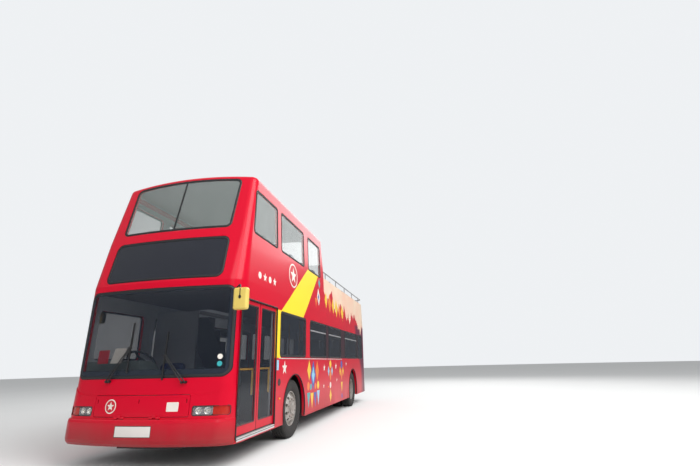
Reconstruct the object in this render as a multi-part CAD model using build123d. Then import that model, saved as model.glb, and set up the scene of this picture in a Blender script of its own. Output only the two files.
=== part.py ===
from build123d import *
from functools import lru_cache
from math import cos, radians, sin, sqrt
import os

os.makedirs("parts", exist_ok=True)

# Open top double decker bus, in millimetres. The front faces -Y, the entrance side is +X and
# +Z is up. The origin is on the ground at the middle of the bus. A station is a distance
# back from the front bumper's face.

# Overall sizes
body_length = 9900
body_width = 2520
roof_height = 4270
skirt_height = 285
wall = 55
seat_gap = 0.3

# Shape of the body shell
belt_height = 3130
rear_crown = 30
rear_corner_radius = 120
roof_drop = 75
roof_edge_radius = 90
rear_bumper_depth = 20
# columns: height, lean of each side, setback of the front, bow of the front, front corner radius
shell_sections = (
    (skirt_height, 0, 40, 185, 270),
    (1080, 0, 90, 165, 265),
    (2400, 0, 145, 130, 235),
    (belt_height, 26, 327, 110, 150),
    (4300, 72, 620, 100, 120),
)

# Where the panels meet
deck_joint = 2345
cantrail = 4040
front_joint_station = 320
upper_joint_station = 470
upper_joint_belt = 560
upper_joint_head = 700
rear_joint_station = 9560
open_side_height = 3250
roof_end_station = 4500
pillar_foot_station = 4640
panel_joints = (1680, 3305, 4850, 6670, 8620)
waist_joint = 1250

# Floors and wheelhouses
floor_height = 340
floor_thickness = 50
floor_end_station = 8550
deck_height = 2410
deck_thickness = 80
bulkhead_thickness = 30
engine_deck_height = 1310

# Running gear
front_axle_station = 2540
wheelbase = 5250
tyre_radius = 479
wheel_centre = tyre_radius
tyre_width = 276
tyre_bead_inset = 40
tyre_sidewall_swell = 70
tyre_shoulder_depth = 45
tyre_shoulder_width = 28
rim_radius = 286
rim_inset = 38
rim_wall = 14
front_wheel_offset = 1082
rear_outer_offset = 1090
rear_inner_offset = 780
kingpin_offset = 960
front_dish = 115
front_hub_radius = 85
front_hub_reach = 28
rear_hub_radius = 105
rear_hub_reach = 40
rear_stub_start = 550
rear_stub_end = 900
rear_stub_radius = 95
disc_thickness = 14
disc_flat_radius = 200
disc_lip = 50
hand_holes = 10
hand_hole_radius = 24
hand_hole_circle = disc_flat_radius + 8
arch_radius = 575
wheelhouse_half_length = 660
wheelhouse_top = 1120
wheelhouse_wall = 12
front_wheelhouse_offset = 515
rear_wheelhouse_offset = 500

# Glazing
glass_depth = 5
glass_thickness = 8
glass_rebate = 18
glass_edge_gap = 2
glass_seat_gap = 0.5
# columns: first station, last station; the upper ones have the first at the sill and at the head
lower_nearside_windows = ((1770, 3160), (3450, 4730), (4950, 6280), (6760, 8550), (8690, 9490))
lower_offside_windows = ((490, 1480), (1770, 3160), (3450, 4730), (5950, 6580), (6760, 8550), (8690, 9490))
upper_windows = ((620, 715, 1610), (1790, 1790, 3110), (3400, 3400, 4350))
lower_sill = 1360
lower_head = 2100
upper_sill = 3200
upper_head = 3950
window_radius = 60
windscreen_half_width = 1170
windscreen_sill = 1110
windscreen_head = 2300
windscreen_radius = 120
upper_screen_sill = 3260
upper_screen_head = 4140
upper_screen_rise = 45
upper_screen_foot = 930
upper_screen_top = 955
upper_screen_radius = 80
display_half_width = 950
display_sill = 2450
display_head = 3080
display_radius = 95
rear_window_half_width = 800
rear_window_sill = 1480
rear_window_head = 2060
rear_window_radius = 80

# Front moulding: a crease above the flap and lamps, below which the panel stands proud
crease_height = 893
crease_straight = 1010
crease_end_height = 1010
crease_bend = 260
crease_depth = 8
lamp_inner = 745
lamp_middle = 1000
lamp_outer = 1190
lamp_foot = 640
lamp_head = 748
lamp_radius = 22
lamp_gap = 0.5
lens_depth = 4
lens_thickness = 5
reflector_offsets = (815, 925)
reflector_radius = 42
reflector_back = 6

# Entrance doors
door_front = 330
door_rear = 1610
door_head = 2140
door_edge_gap = 12
door_meeting_gap = 20
door_foot_gap = 25
door_depth = 26
door_thickness = 36
door_hinge_stile = 26
door_meeting_stile = 56
door_top_rail = 60
door_glass_foot = 480
door_bracket_height = 30
door_bracket_width = 24
door_bracket_inset = 15
post_radius = 16
post_setback = 45
handle_bar = 26
handle_reach = 30
handle_low = 820
handle_high = 1190

# Emergency door
exit_front = 4980
exit_rear = 5780
exit_sill = 450
exit_head = 2130
exit_gap = 8
exit_thickness = 45
exit_frame = 90
hinge_radius = 9
hinge_length = 70
hinge_strap = 60
hinge_clearance = 1
exit_hinge_inset = 220
flap_hinge_radius = 6
flap_hinge_clearance = 5
flap_hinge_length = 50
flap_strap_height = 20
flap_strap_depth = 16

# Flaps and bumpers
flap_gap = 6
flap_thickness = 22
front_flap_half_width = 700
front_flap_sill = 630
front_flap_head = 885
front_flap_radius = 20
front_hinge_offset = 260
latch_offsets = (-660, 0, 660)
latch_width = 14
latch_sill = 790
latch_head = 838
latch_depth = 14
engine_flap_half_width = 930
engine_flap_sill = 600
engine_flap_head = 1300
engine_flap_radius = 30
engine_hinge_offset = 520
louvre_half_width = 620
louvre_height = 22
louvre_pitch = 52
louvre_count = 9
louvre_first = 760
bumper_height = 600
rear_bumper_height = 560
# columns: height above the ground, setback of the bumper's face
bumper_sections = ((skirt_height, 48), (skirt_height + 35, 12), (skirt_height + 75, 0), (bumper_height - 40, 0),
                   (bumper_height - 10, 8), (bumper_height, 20))
tail_lamp_offset = 1090
tail_lamp_heights = (760, 900, 1040)
tail_lamp_radius = 47

# Staircase
stair_front = 2600
stair_rear = 4500
stair_inner = -590
stair_wall_gap = 20
stair_side_gap = 40
stair_run_out = 80
stair_soffit_rise = 40
stair_foot_length = 160
riser_count = 9

# Chassis rails and crossmembers, towing eyes and jacking pads
rail_inner = 380
rail_outer = 460
rail_foot = 215
rail_top = floor_height - floor_thickness
rail_start = 330
rail_end = 9700
crossmember_depth = 60
crossmember_stations = (rail_start, 1300, 3500, 5200, 6800, 8740, rail_end - crossmember_depth)
towing_lug_half_width = 60
towing_lug_reach = 110
towing_lug_thickness = 30
towing_eye_radius = 21
towing_eye_setback = 55
jacking_pad_stations = (3520, 6820)
jacking_pad_length = 160
jacking_pad_thickness = 10
engine_half_width = 780
engine_span = (8800, 9720)
engine_top = 1150

# Axles and knuckles
beam_foot = 150
beam_top = rail_foot
beam_depth = 60
beam_drop_end = 540
beam_rise_run = 130
beam_end_height = 90
beam_skew = 14
beam_shoulder = 30
boss_radius = 42
boss_half_height = 50
fork_height = 60
fork_gap = 0.3
fork_width = 70
web_start = 50
web_end = 74
spindle_radius = 32
spindle_end = front_wheel_offset - 20
steering_arm_width = 46
steering_arm_reach = 180
steering_arm_thickness = 30
rear_case_half_width = 560
rear_case_depth = 220
rear_knee_offset = 565
rear_knee_width = 90
rear_knee_depth = 240
rear_knee_top = 620

# Seats, cab and rails
seat_width = 860
seat_pitch = 760
lower_seat_side = 1180
upper_seat_side = 1155
upper_seat_rows = 11
upper_seat_start = 1400
upper_seat_stair_rows = (1, 5)
lower_seat_stations = (3500, 4300, 5100, 5900)
offside_seat_station = 5950
bench_station = 8900
bench_depth = 600
bench_drop = 250
seat_notch = 26
seat_back_radius = 90
cushion_round = 16
driver_seat_span = (-960, -480)
driver_seat_station = 1250
cab_screen_span = (-1190, -350)
cab_screen_station = 1800
cab_screen_thickness = 30
cab_screen_height = 2200
dash_span = (-1150, -250)
dash_start = 300
wheel_column_tilt = 40
steering_wheel_place = (-720, 930, 1330)
steering_wheel_radius = 225
steering_rim_radius = 16
pole_radius = 16
# columns: place across, station
poles = ((490, 1845), (300, 3960), (300, 5560), (-300, 6410))
rail_rise = 170
rail_radius = 16
rail_inset = 60
rail_end_inset = 90
rail_bend = 120
stanchion_radius = 12
stanchion_start = 4900
stanchion_pitch = 1100
stanchion_count = 5
guard_rise = 900
guard_radius = 16
guard_inset = 40
guard_bend = 80
mirror_size = (205, 90, 292)
mirror_edge_radius = 30
mirror_arm_radius = 12
# columns: side, root, bend and head: each across, station and height
mirror_places = (
    (1, (1145, 305, 2265), (1320, 90, 2275), (1365, 52, 2075)),
    (-1, (1210, 700, 2250), (1350, 700, 2262), (1365, 640, 2060)),
)

front_face = -body_length / 2
half_width = body_width / 2
rear_axle_station = front_axle_station + wheelbase


def at(station):
    return front_face + station


def block(x0, x1, s0, s1, z0, z1):
    size = Box(x1 - x0, s1 - s0, z1 - z0, align=(Align.MIN, Align.MIN, Align.MIN))
    return Pos(x0, at(s0), z0) * size


def across(low, high, side):
    """The span from low to high on one side of the middle, as two places in rising order."""
    return sorted((side * low, side * high))


def mirrored(shape):
    return mirror(shape, about=Plane.YZ)


def write(name, *solids):
    shape = Compound(children=[solid for part in solids for solid in part.solids()])
    export_step(shape, f"parts/{name}.step")


def plan_face(side, front, rear, crown, radius, rear_radius):
    """Plan outline: bowed front, straight sides, bowed rear, four rounded corners."""
    outline = [
        ThreePointArc((-side, front + crown), (0, front), (side, front + crown)),
        Line((side, front + crown), (side, rear - rear_crown)),
        ThreePointArc((side, rear - rear_crown), (0, rear), (-side, rear - rear_crown)),
        Line((-side, rear - rear_crown), (-side, front + crown)),
    ]
    face = make_face(outline)
    face = fillet(face.vertices().sort_by(Axis.Y)[:2], radius)
    return fillet(face.vertices().sort_by(Axis.Y)[-2:], rear_radius)


@lru_cache(maxsize=None)
def hull(inset):
    """The closed outer form of the whole body, drawn in by inset on every side."""
    faces = []
    for height, lean, setback, crown, radius in shell_sections:
        side = half_width - lean - inset
        front = front_face + setback + inset
        rear = body_length / 2 - rear_bumper_depth - inset
        face = plan_face(side, front, rear, crown, radius - inset, rear_corner_radius - inset)
        faces.append(Pos(0, 0, height) * face)
    form = loft(faces, ruled=True)
    top = roof_height - inset
    crown = [
        ThreePointArc((-half_width, top - roof_drop), (0, top), (half_width, top - roof_drop)),
        Polyline((half_width, top - roof_drop), (half_width, 0), (-half_width, 0), (-half_width, top - roof_drop)),
    ]
    form &= extrude(Plane.XZ * make_face(crown), body_length, both=True)
    roof_edges = form.faces().sort_by(Axis.Z)[-1].edges()
    return fillet(roof_edges, roof_edge_radius - inset)


@lru_cache(maxsize=None)
def layer(outer, inner):
    """The body's wall between two depths below its outer form."""
    return hull(outer) - hull(inner)


def front_station(x, height):
    """Station of the shell's front at a place across and a height, away from the corners."""
    for low, high in zip(shell_sections, shell_sections[1:]):
        if low[0] <= height <= high[0]:
            share = (height - low[0]) / (high[0] - low[0])
            lean, setback, crown = (low[k] + share * (high[k] - low[k]) for k in (1, 2, 3))
            width = half_width - lean
            bow_radius = (width**2 + crown**2) / (2 * crown)
            return setback + bow_radius - sqrt(bow_radius**2 - x**2)


def push(plane, face, depth):
    """A face drawn on a plane, pushed along the plane's normal."""
    return extrude(plane * face, depth, dir=plane.z_dir)


def side_plane(x):
    """A plane across the bus at x, on which stations run along its x and heights along its y."""
    return Plane(origin=(x, front_face, 0), x_dir=(0, 1, 0), z_dir=(1, 0, 0))


def rounded(a0, a1, b0, b1, radius):
    return Pos((a0 + a1) / 2, (b0 + b1) / 2) * RectangleRounded(a1 - a0, b1 - b0, radius)


def side_prism(face, side):
    """A face drawn in station and height, pushed through one side wall."""
    inner = half_width - 4 * wall
    start = inner if side > 0 else -half_width - wall
    return push(side_plane(start), face, 5 * wall)


def front_prism(face):
    """A face drawn in x and height, pushed through the front wall."""
    reach = 1000
    plane = Plane(origin=(0, at(reach), 0), x_dir=(1, 0, 0), z_dir=(0, -1, 0))
    return push(plane, face, reach + wall)


def rear_prism(face):
    """A face drawn in x and height, pushed through the rear wall."""
    plane = Plane(origin=(0, body_length / 2 + wall, 0), x_dir=(1, 0, 0), z_dir=(0, -1, 0))
    return push(plane, face, 4 * wall)


def glaze(panel, prism, face):
    """Cuts a window with a rebate through a panel and returns the panel and its pane."""
    depth = glass_depth + glass_thickness
    rebate = prism(offset(face, glass_rebate)) - hull(depth + glass_seat_gap)
    pane = prism(offset(face, glass_rebate - glass_edge_gap)) & layer(glass_depth, depth)
    return panel - prism(face) - rebate, pane


def arch(station):
    """Wheel arch outline: half round above the axle, straight down to the skirt."""
    height = wheel_centre - skirt_height
    face = Pos(station, wheel_centre) * Circle(arch_radius)
    return face + Pos(station, wheel_centre - height) * Rectangle(2 * arch_radius, 2 * height)


def panels(side_wall):
    """A side wall cut at its pillars, over its axles and at its waist into separate panels."""
    ends = sorted((0, *panel_joints, front_axle_station, rear_axle_station, body_length))
    return [side_wall & block(-2 * half_width, 2 * half_width, first, last, low, high)
            for first, last in zip(ends, ends[1:]) for low, high in ((0, waist_joint), (waist_joint, deck_joint))]


# Lower side panels, with the doorways, windows and wheel arches cut through the whole wall
lower_zone = block(0, half_width, front_joint_station, rear_joint_station, skirt_height, deck_joint)
nearside = layer(0, wall) & lower_zone
offside = layer(0, wall) & mirrored(lower_zone)
for axle in (front_axle_station, rear_axle_station):
    nearside -= side_prism(arch(axle), 1)
    offside -= side_prism(arch(axle), -1)
nearside -= block(0, half_width, door_front, door_rear, floor_height, door_head)
offside -= block(-half_width, 0, exit_front, exit_rear, exit_sill, exit_head)
nearside_panes = []
offside_panes = []
for first, last in lower_nearside_windows:
    face = rounded(first, last, lower_sill, lower_head, window_radius)
    nearside, pane = glaze(nearside, lambda f: side_prism(f, 1), face)
    nearside_panes.append(pane)
for first, last in lower_offside_windows:
    face = rounded(first, last, lower_sill, lower_head, window_radius)
    offside, pane = glaze(offside, lambda f: side_prism(f, -1), face)
    offside_panes.append(pane)
write("lower_glass", *nearside_panes, *offside_panes)

# Emergency door in the offside, hung on three barrel hinges at its front edge
hinge_x = -half_width - hinge_radius - hinge_clearance
strap_span = (hinge_x - hinge_radius, -half_width + hinge_clearance)
exit_hinge_heights = (exit_sill + exit_hinge_inset, (exit_sill + exit_head) / 2, exit_head - exit_hinge_inset)
exit_zone = block(-half_width, -half_width + exit_thickness, exit_front + exit_gap, exit_rear - exit_gap,
                  exit_sill + exit_gap, exit_head - exit_gap)
exit_face = rounded(exit_front + exit_frame, exit_rear - exit_frame, lower_sill, exit_head - exit_frame,
                    window_radius)
exit_door = exit_zone & hull(0)
exit_door, exit_pane = glaze(exit_door, lambda f: side_prism(f, -1), exit_face)
for height in exit_hinge_heights:
    barrel = Cylinder(hinge_radius, hinge_length)
    exit_door += Pos(hinge_x, at(exit_front), height) * barrel
    exit_door += block(*strap_span, exit_front, exit_front + hinge_strap, height - hinge_length / 2,
                       height + hinge_length / 2)
    for side in (-1, 1):
        middle = height + side * (hinge_length + seat_gap)
        offside += Pos(hinge_x, at(exit_front), middle) * barrel
        offside += block(*strap_span, exit_front - hinge_strap, exit_front, middle - hinge_length / 2,
                         middle + hinge_length / 2)
write("emergency_door", exit_door)
write("emergency_door_glass", exit_pane)
write("lower_side_nearside", *panels(nearside))
write("lower_side_offside", *panels(offside))

# Entrance doors: two glazed leaves, each on a turning post just inside the wall
leaf_span = (door_rear - door_front - 2 * door_edge_gap - door_meeting_gap) / 2
leaf_foot = floor_height + door_foot_gap
leaf_head = door_head - door_edge_gap
leaf_outer = half_width - door_depth
leaf_inner = leaf_outer - door_thickness
post_offset = leaf_inner - post_radius + hinge_clearance
door_glass_gap = glass_edge_gap / 4


def door_leaf(start, front_stile, rear_stile, post_station):
    """One leaf: two stiles, two rails, a turning post on brackets and an angled grab handle."""
    middle = (leaf_outer + leaf_inner) / 2
    glass_front, glass_rear = start + front_stile, start + leaf_span - rear_stile
    glass_head = leaf_head - door_top_rail
    leaf = block(leaf_inner, leaf_outer, start, start + leaf_span, leaf_foot, leaf_head)
    leaf -= block(0, half_width, glass_front, glass_rear, door_glass_foot, glass_head)
    post = Cylinder(post_radius, door_head - floor_height - 2 * seat_gap,
                    align=(Align.CENTER, Align.CENTER, Align.MIN))
    leaf += Pos(post_offset, at(post_station), floor_height + seat_gap) * post
    toward = 1 if post_station < start + leaf_span / 2 else -1
    low, high = sorted((post_station, post_station + toward * leaf_span / 2))
    for height in (leaf_foot + door_bracket_inset, leaf_head - door_bracket_inset - door_bracket_height):
        leaf += block(post_offset - door_bracket_width / 2, leaf_inner, low, high, height,
                      height + door_bracket_height)
    half = handle_bar / 2
    back, front = leaf_inner - handle_reach - half, leaf_inner - handle_reach + half
    far = start + (leaf_span - half if toward > 0 else half)
    ends = sorted((post_station, far))
    leaf += block(back, front, *ends, handle_high - handle_bar, handle_high)
    leaf += block(back, front, ends[1] - handle_bar, ends[1], handle_low, handle_high)
    low, high = sorted((far, far - toward * handle_bar))
    for height in (handle_low, handle_high - handle_bar)[toward < 0:]:
        leaf += block(back, leaf_inner, low, high, height, height + handle_bar)
    pane = block(middle - glass_thickness / 2, middle + glass_thickness / 2, glass_front + door_glass_gap,
                 glass_rear - door_glass_gap, door_glass_foot + door_glass_gap, glass_head - door_glass_gap)
    return leaf, pane


front_leaf_start = door_front + door_edge_gap
rear_leaf_start = door_rear - door_edge_gap - leaf_span
front_leaf, front_leaf_pane = door_leaf(front_leaf_start, door_hinge_stile, door_meeting_stile,
                                        front_leaf_start + post_setback)
rear_leaf, rear_leaf_pane = door_leaf(rear_leaf_start, door_meeting_stile, door_hinge_stile,
                                      rear_leaf_start + leaf_span - post_setback)
write("front_door_leaf", front_leaf)
write("front_door_glass", front_leaf_pane)
write("rear_door_leaf", rear_leaf)
write("rear_door_glass", rear_leaf_pane)

# Front moulding below the deck joint, with the windscreen, service flap and lamps cut out
lamp_depth = lens_depth + lens_thickness
front_zone = block(-half_width, half_width, -wall, front_joint_station, bumper_height, deck_joint)
crease_line = make_face(Polyline(
    (-half_width, bumper_height), (half_width, bumper_height), (half_width, crease_end_height),
    (crease_straight, crease_height), (-crease_straight, crease_height), (-half_width, crease_end_height),
    close=True))
crease_line = fillet(crease_line.vertices().filter_by(lambda v: abs(abs(v.X) - crease_straight) < 1), crease_bend)
front_panel = (layer(0, wall) + (front_prism(crease_line) & layer(-crease_depth, 0))) & front_zone
screen_face = rounded(-windscreen_half_width, windscreen_half_width, windscreen_sill, windscreen_head,
                      windscreen_radius)
front_panel, windscreen = glaze(front_panel, front_prism, screen_face)
lenses, indicators, reflectors = [], [], []
for side in (-1, 1):
    front_panel -= front_prism(rounded(*across(lamp_inner, lamp_outer, side), lamp_foot, lamp_head, lamp_radius))
    low, high = across(lamp_inner + lamp_gap, lamp_middle - lamp_gap, side)
    lens_face = rounded(low, high, lamp_foot + lamp_gap, lamp_head - lamp_gap, lamp_radius)
    lenses.append(front_prism(lens_face) & layer(lens_depth, lamp_depth))
    reflector = front_prism(lens_face) & layer(lamp_depth + seat_gap, wall)
    for x in reflector_offsets:
        cup = Pos(side * x, (lamp_foot + lamp_head) / 2) * Circle(reflector_radius)
        reflector -= front_prism(cup) & layer(lamp_depth, wall - reflector_back)
    reflectors.append(reflector)
    low, high = across(lamp_middle + lamp_gap, lamp_outer - lamp_gap, side)
    face = rounded(low, high, lamp_foot + lamp_gap, lamp_head - lamp_gap, lamp_radius)
    indicators.append(front_prism(face) & layer(lens_depth, flap_thickness))
write("windscreen", windscreen)
write("headlamps", *lenses)
write("indicators", *indicators)
write("reflectors", *reflectors)

flap_face = rounded(-front_flap_half_width, front_flap_half_width, front_flap_sill, front_flap_head,
                    front_flap_radius)
front_panel -= front_prism(offset(flap_face, flap_gap))
front_flap = front_prism(flap_face) & layer(-crease_depth, flap_thickness)
for x in latch_offsets:
    latch = rounded(x - latch_width / 2, x + latch_width / 2, latch_sill, latch_head, latch_width / 3)
    front_flap -= front_prism(latch) & (hull(-crease_depth) - hull(latch_depth))


def flap_hinges(x, skin, outward, joint, flap_above):
    """One hinge along X in front of the skin: the flap's barrel between two fixed ones."""
    axis_y = skin + outward * (flap_hinge_radius + flap_hinge_clearance)
    barrels = []
    for place in (-1, 0, 1):
        middle = x + place * (flap_hinge_length + seat_gap)
        barrel = Pos(middle, axis_y, joint) * (Rot(0, 90, 0) * Cylinder(flap_hinge_radius, flap_hinge_length))
        near = axis_y + outward * flap_hinge_radius
        far = skin - outward * flap_strap_depth
        up = flap_above if place == 0 else -flap_above
        low, high = sorted((joint, joint + up * flap_strap_height))
        strap = Box(flap_hinge_length, abs(near - far), high - low)
        barrels.append(barrel + Pos(middle, (near + far) / 2, (low + high) / 2) * strap)
    return barrels[1], barrels[0] + barrels[2]


front_hinge_height = front_flap_sill - flap_gap / 2
front_hinge_skin = at(front_station(front_hinge_offset, front_hinge_height) - crease_depth)
for x in (-front_hinge_offset, front_hinge_offset):
    own, fixed = flap_hinges(x, front_hinge_skin, -1, front_hinge_height, 1)
    front_flap += own
    front_panel += fixed
write("front_flap", front_flap)
write("front_panel", front_panel)

# Front bumper: a bowed moulding with a turned-in foot and a rounded ledge, forward of the panel
bumper_faces = []
for height, setback in bumper_sections:
    crown, radius = shell_sections[0][3:]
    face = plan_face(half_width, front_face + setback, 0, crown, radius, rear_corner_radius)
    bumper_faces.append(Pos(0, 0, height) * face)
bumper_zone = block(-half_width, half_width, 0, front_joint_station, 0, bumper_height)
front_bumper = (loft(bumper_faces, ruled=True) - hull(wall)) & bumper_zone
write("front_bumper", front_bumper)

# Upper side panels: full height with windows in front, low and open behind the slanted pillar
upper_outline = Polyline(
    (upper_joint_station, deck_joint), (rear_joint_station, deck_joint), (rear_joint_station, open_side_height),
    (pillar_foot_station, open_side_height), (roof_end_station, cantrail),
    (upper_joint_head, cantrail), (upper_joint_belt, belt_height), close=True)
upper_face = make_face(upper_outline)
upper_side = layer(0, wall) & side_prism(upper_face, 1)
upper_panes = []
for sill_first, head_first, last in upper_windows:
    face = make_face(Polyline((sill_first, upper_sill), (last, upper_sill), (last, upper_head),
                              (head_first, upper_head), close=True))
    face = fillet(face.vertices(), window_radius)
    upper_side, pane = glaze(upper_side, lambda f: side_prism(f, 1), face)
    upper_panes.append(pane)
write("upper_side_nearside", upper_side)
write("upper_side_offside", mirrored(upper_side))
write("upper_glass", *upper_panes, *[mirrored(pane) for pane in upper_panes])

# Upper front moulding, with the upper windscreen and the display window
upper_front_face = make_face(Polyline(
    (0, deck_joint), (upper_joint_station, deck_joint), (upper_joint_belt, belt_height),
    (upper_joint_head, cantrail), (upper_joint_head, roof_height), (0, roof_height), close=True))
upper_front = layer(0, wall) & push(side_plane(-half_width), upper_front_face, body_width)
upper_screen_line = [
    Polyline((-upper_screen_top, upper_screen_head), (-upper_screen_foot, upper_screen_sill),
             (upper_screen_foot, upper_screen_sill), (upper_screen_top, upper_screen_head)),
    ThreePointArc((upper_screen_top, upper_screen_head), (0, upper_screen_head + upper_screen_rise),
                  (-upper_screen_top, upper_screen_head)),
]
upper_screen_face = make_face(upper_screen_line)
upper_screen_face = fillet(upper_screen_face.vertices(), upper_screen_radius)
upper_front, upper_screen = glaze(upper_front, front_prism, upper_screen_face)
display_face = rounded(-display_half_width, display_half_width, display_sill, display_head, display_radius)
upper_front, display_glass = glaze(upper_front, front_prism, display_face)
write("upper_front_panel", upper_front)
write("upper_windscreen", upper_screen)
write("display_glass", display_glass)

# Roof over the front of the upper deck
roof = layer(0, wall) & block(-half_width, half_width, upper_joint_head, roof_end_station, cantrail, roof_height)
write("roof", roof)

# Rear panels with the window, the louvred engine flap and round lamps, and the rear bumper
rear_zone = block(-half_width, half_width, rear_joint_station, body_length, rear_bumper_height, deck_joint)
rear_panel = layer(0, wall) & rear_zone
rear_face = rounded(-rear_window_half_width, rear_window_half_width, rear_window_sill, rear_window_head,
                    rear_window_radius)
rear_panel, rear_window = glaze(rear_panel, rear_prism, rear_face)
engine_face = rounded(-engine_flap_half_width, engine_flap_half_width, engine_flap_sill, engine_flap_head,
                      engine_flap_radius)
rear_panel -= rear_prism(offset(engine_face, flap_gap))
engine_flap = rear_prism(engine_face) & layer(0, flap_thickness)
for index in range(louvre_count):
    low = louvre_first + index * louvre_pitch
    engine_flap -= rear_prism(rounded(-louvre_half_width, louvre_half_width, low, low + louvre_height,
                                      louvre_height / 2.1))
engine_hinge_height = engine_flap_head + flap_gap / 2
for x in (-engine_hinge_offset, engine_hinge_offset):
    own, fixed = flap_hinges(x, body_length / 2 - rear_bumper_depth, 1, engine_hinge_height, -1)
    engine_flap += own
    rear_panel += fixed
tail_lamps = []
for x in (-tail_lamp_offset, tail_lamp_offset):
    for height in tail_lamp_heights:
        place = Pos(x, height)
        rear_panel -= rear_prism(place * Circle(tail_lamp_radius + 2 * lamp_gap))
        tail_lamps.append(rear_prism(place * Circle(tail_lamp_radius)) & layer(lens_depth, wall))
write("rear_panel_lower", rear_panel)
write("rear_window", rear_window)
write("engine_flap", engine_flap)
write("tail_lamps", *tail_lamps)
rear_upper = layer(0, wall) & block(-half_width, half_width, rear_joint_station, body_length, deck_joint,
                                    open_side_height)
write("rear_panel_upper", rear_upper)
rear_outline = plan_face(half_width, 0, body_length / 2, rear_crown, rear_corner_radius, rear_corner_radius)
rear_bumper = Pos(0, 0, skirt_height) * extrude(rear_outline, rear_bumper_height - skirt_height) - hull(wall)
rear_bumper &= block(-half_width, half_width, rear_joint_station, body_length, 0, rear_bumper_height)
write("rear_bumper", rear_bumper)

# Lower floor with the openings for the wheelhouses
inside = hull(wall + seat_gap)
lower_floor = inside & block(-half_width, half_width, 0, floor_end_station, floor_height - floor_thickness,
                             floor_height)
wheelhouses = []
for axle, inner in ((front_axle_station, front_wheelhouse_offset), (rear_axle_station, rear_wheelhouse_offset)):
    first, last = axle - wheelhouse_half_length, axle + wheelhouse_half_length
    for side in (-1, 1):
        outer = block(*across(inner, half_width, side), first, last, floor_height - floor_thickness, wheelhouse_top)
        lower_floor -= outer
        hollow = block(*across(inner + wheelhouse_wall, half_width, side), first + wheelhouse_wall,
                       last - wheelhouse_wall, 0, wheelhouse_top - wheelhouse_wall)
        wheelhouses.append((outer & inside) - hollow)
write("lower_floor", lower_floor)
write("wheelhouses", *wheelhouses)

# Upper floor with the stairwell
upper_floor = inside & block(-half_width, half_width, 0, body_length, deck_height - deck_thickness, deck_height)
upper_floor -= block(-half_width + wall + stair_wall_gap, stair_inner, stair_front, stair_rear, 0, roof_height)
write("upper_floor", upper_floor)

# Staircase: closed treads and risers that climb forwards along the offside
riser = (deck_height - floor_height) / riser_count
stair_foot = stair_rear + stair_run_out
tread = (stair_foot - stair_front) / (riser_count - 1)
stair_points = [(stair_foot, floor_height)]
for step in range(riser_count - 1):
    station = stair_foot - step * tread
    height = floor_height + (step + 1) * riser
    stair_points += [(station, height), (station - tread, height)]
stair_points += [(stair_front, deck_height - deck_thickness - riser + stair_soffit_rise),
                 (stair_rear - stair_foot_length, floor_height)]
stair_start = -half_width + wall + stair_side_gap
stair_width = stair_inner - stair_wall_gap - stair_start
staircase = push(side_plane(stair_start), make_face(Polyline(*stair_points, close=True)), stair_width)
write("staircase", staircase)

# Guard rail round the stairwell on the upper deck
guard_line = stair_inner + guard_inset
guard_height = deck_height + guard_rise
guard_rear = stair_rear + guard_inset
guard_wall_end = stair_start + guard_inset
guard_path = FilletPolyline(
    (guard_line, at(stair_front + guard_rear - stair_rear), guard_height), (guard_line, at(guard_rear), guard_height),
    (guard_wall_end, at(guard_rear), guard_height), radius=guard_bend)
guard = sweep(Plane(guard_path @ 0, z_dir=guard_path % 0) * Circle(guard_radius), guard_path)
for x, station in ((guard_line, stair_front + 2 * guard_inset), (guard_line, (stair_front + stair_rear) / 2),
                   (guard_line, stair_rear - 2 * guard_inset), (guard_wall_end + guard_inset, guard_rear)):
    foot = Pos(x, at(station), deck_height)
    guard += foot * Cylinder(stanchion_radius, guard_rise, align=(Align.CENTER, Align.CENTER, Align.MIN))
write("stair_guard", guard)

# Grab poles from the lower floor to the ceiling
pole_length = deck_height - deck_thickness - floor_height
pole = Cylinder(pole_radius, pole_length, align=(Align.CENTER, Align.CENTER, Align.MIN))
write("saloon_poles", *[Pos(x, at(station), floor_height) * pole for x, station in poles])

# Engine bulkhead and the deck over the engine
bulkhead = inside & (
    block(-half_width, half_width, floor_end_station, floor_end_station + bulkhead_thickness,
          floor_height - floor_thickness, engine_deck_height)
    + block(-half_width, half_width, floor_end_station, body_length, engine_deck_height - bulkhead_thickness,
            engine_deck_height))
write("engine_bulkhead", bulkhead)

# Chassis rails, crossmembers, jacking pads, towing eyes and the engine block that stands on them
chassis = Part()
half_pad = jacking_pad_length / 2
for side in (-1, 1):
    rail_span = across(rail_inner, rail_outer, side)
    chassis += block(*rail_span, rail_start, rail_end, rail_foot, rail_top)
    for station in jacking_pad_stations:
        chassis += block(*rail_span, station - half_pad, station + half_pad, rail_foot - jacking_pad_thickness,
                         rail_foot)
for station in crossmember_stations:
    chassis += block(-rail_inner, rail_inner, station, station + crossmember_depth, rail_foot, rail_top)
towing_lug_foot = (rail_foot + rail_top - towing_lug_thickness) / 2
for end, outward in ((rail_start, -1), (rail_end, 1)):
    low, high = sorted((end - outward, end + outward * towing_lug_reach))
    chassis += block(-towing_lug_half_width, towing_lug_half_width, low, high, towing_lug_foot,
                     towing_lug_foot + towing_lug_thickness)
    eye = Cylinder(towing_eye_radius, 2 * rail_top)
    chassis -= Pos(0, at(end + outward * towing_eye_setback), towing_lug_foot) * eye
write("chassis_frame", chassis)
write("engine", block(-engine_half_width, engine_half_width, *engine_span, rail_top, engine_top))


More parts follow.
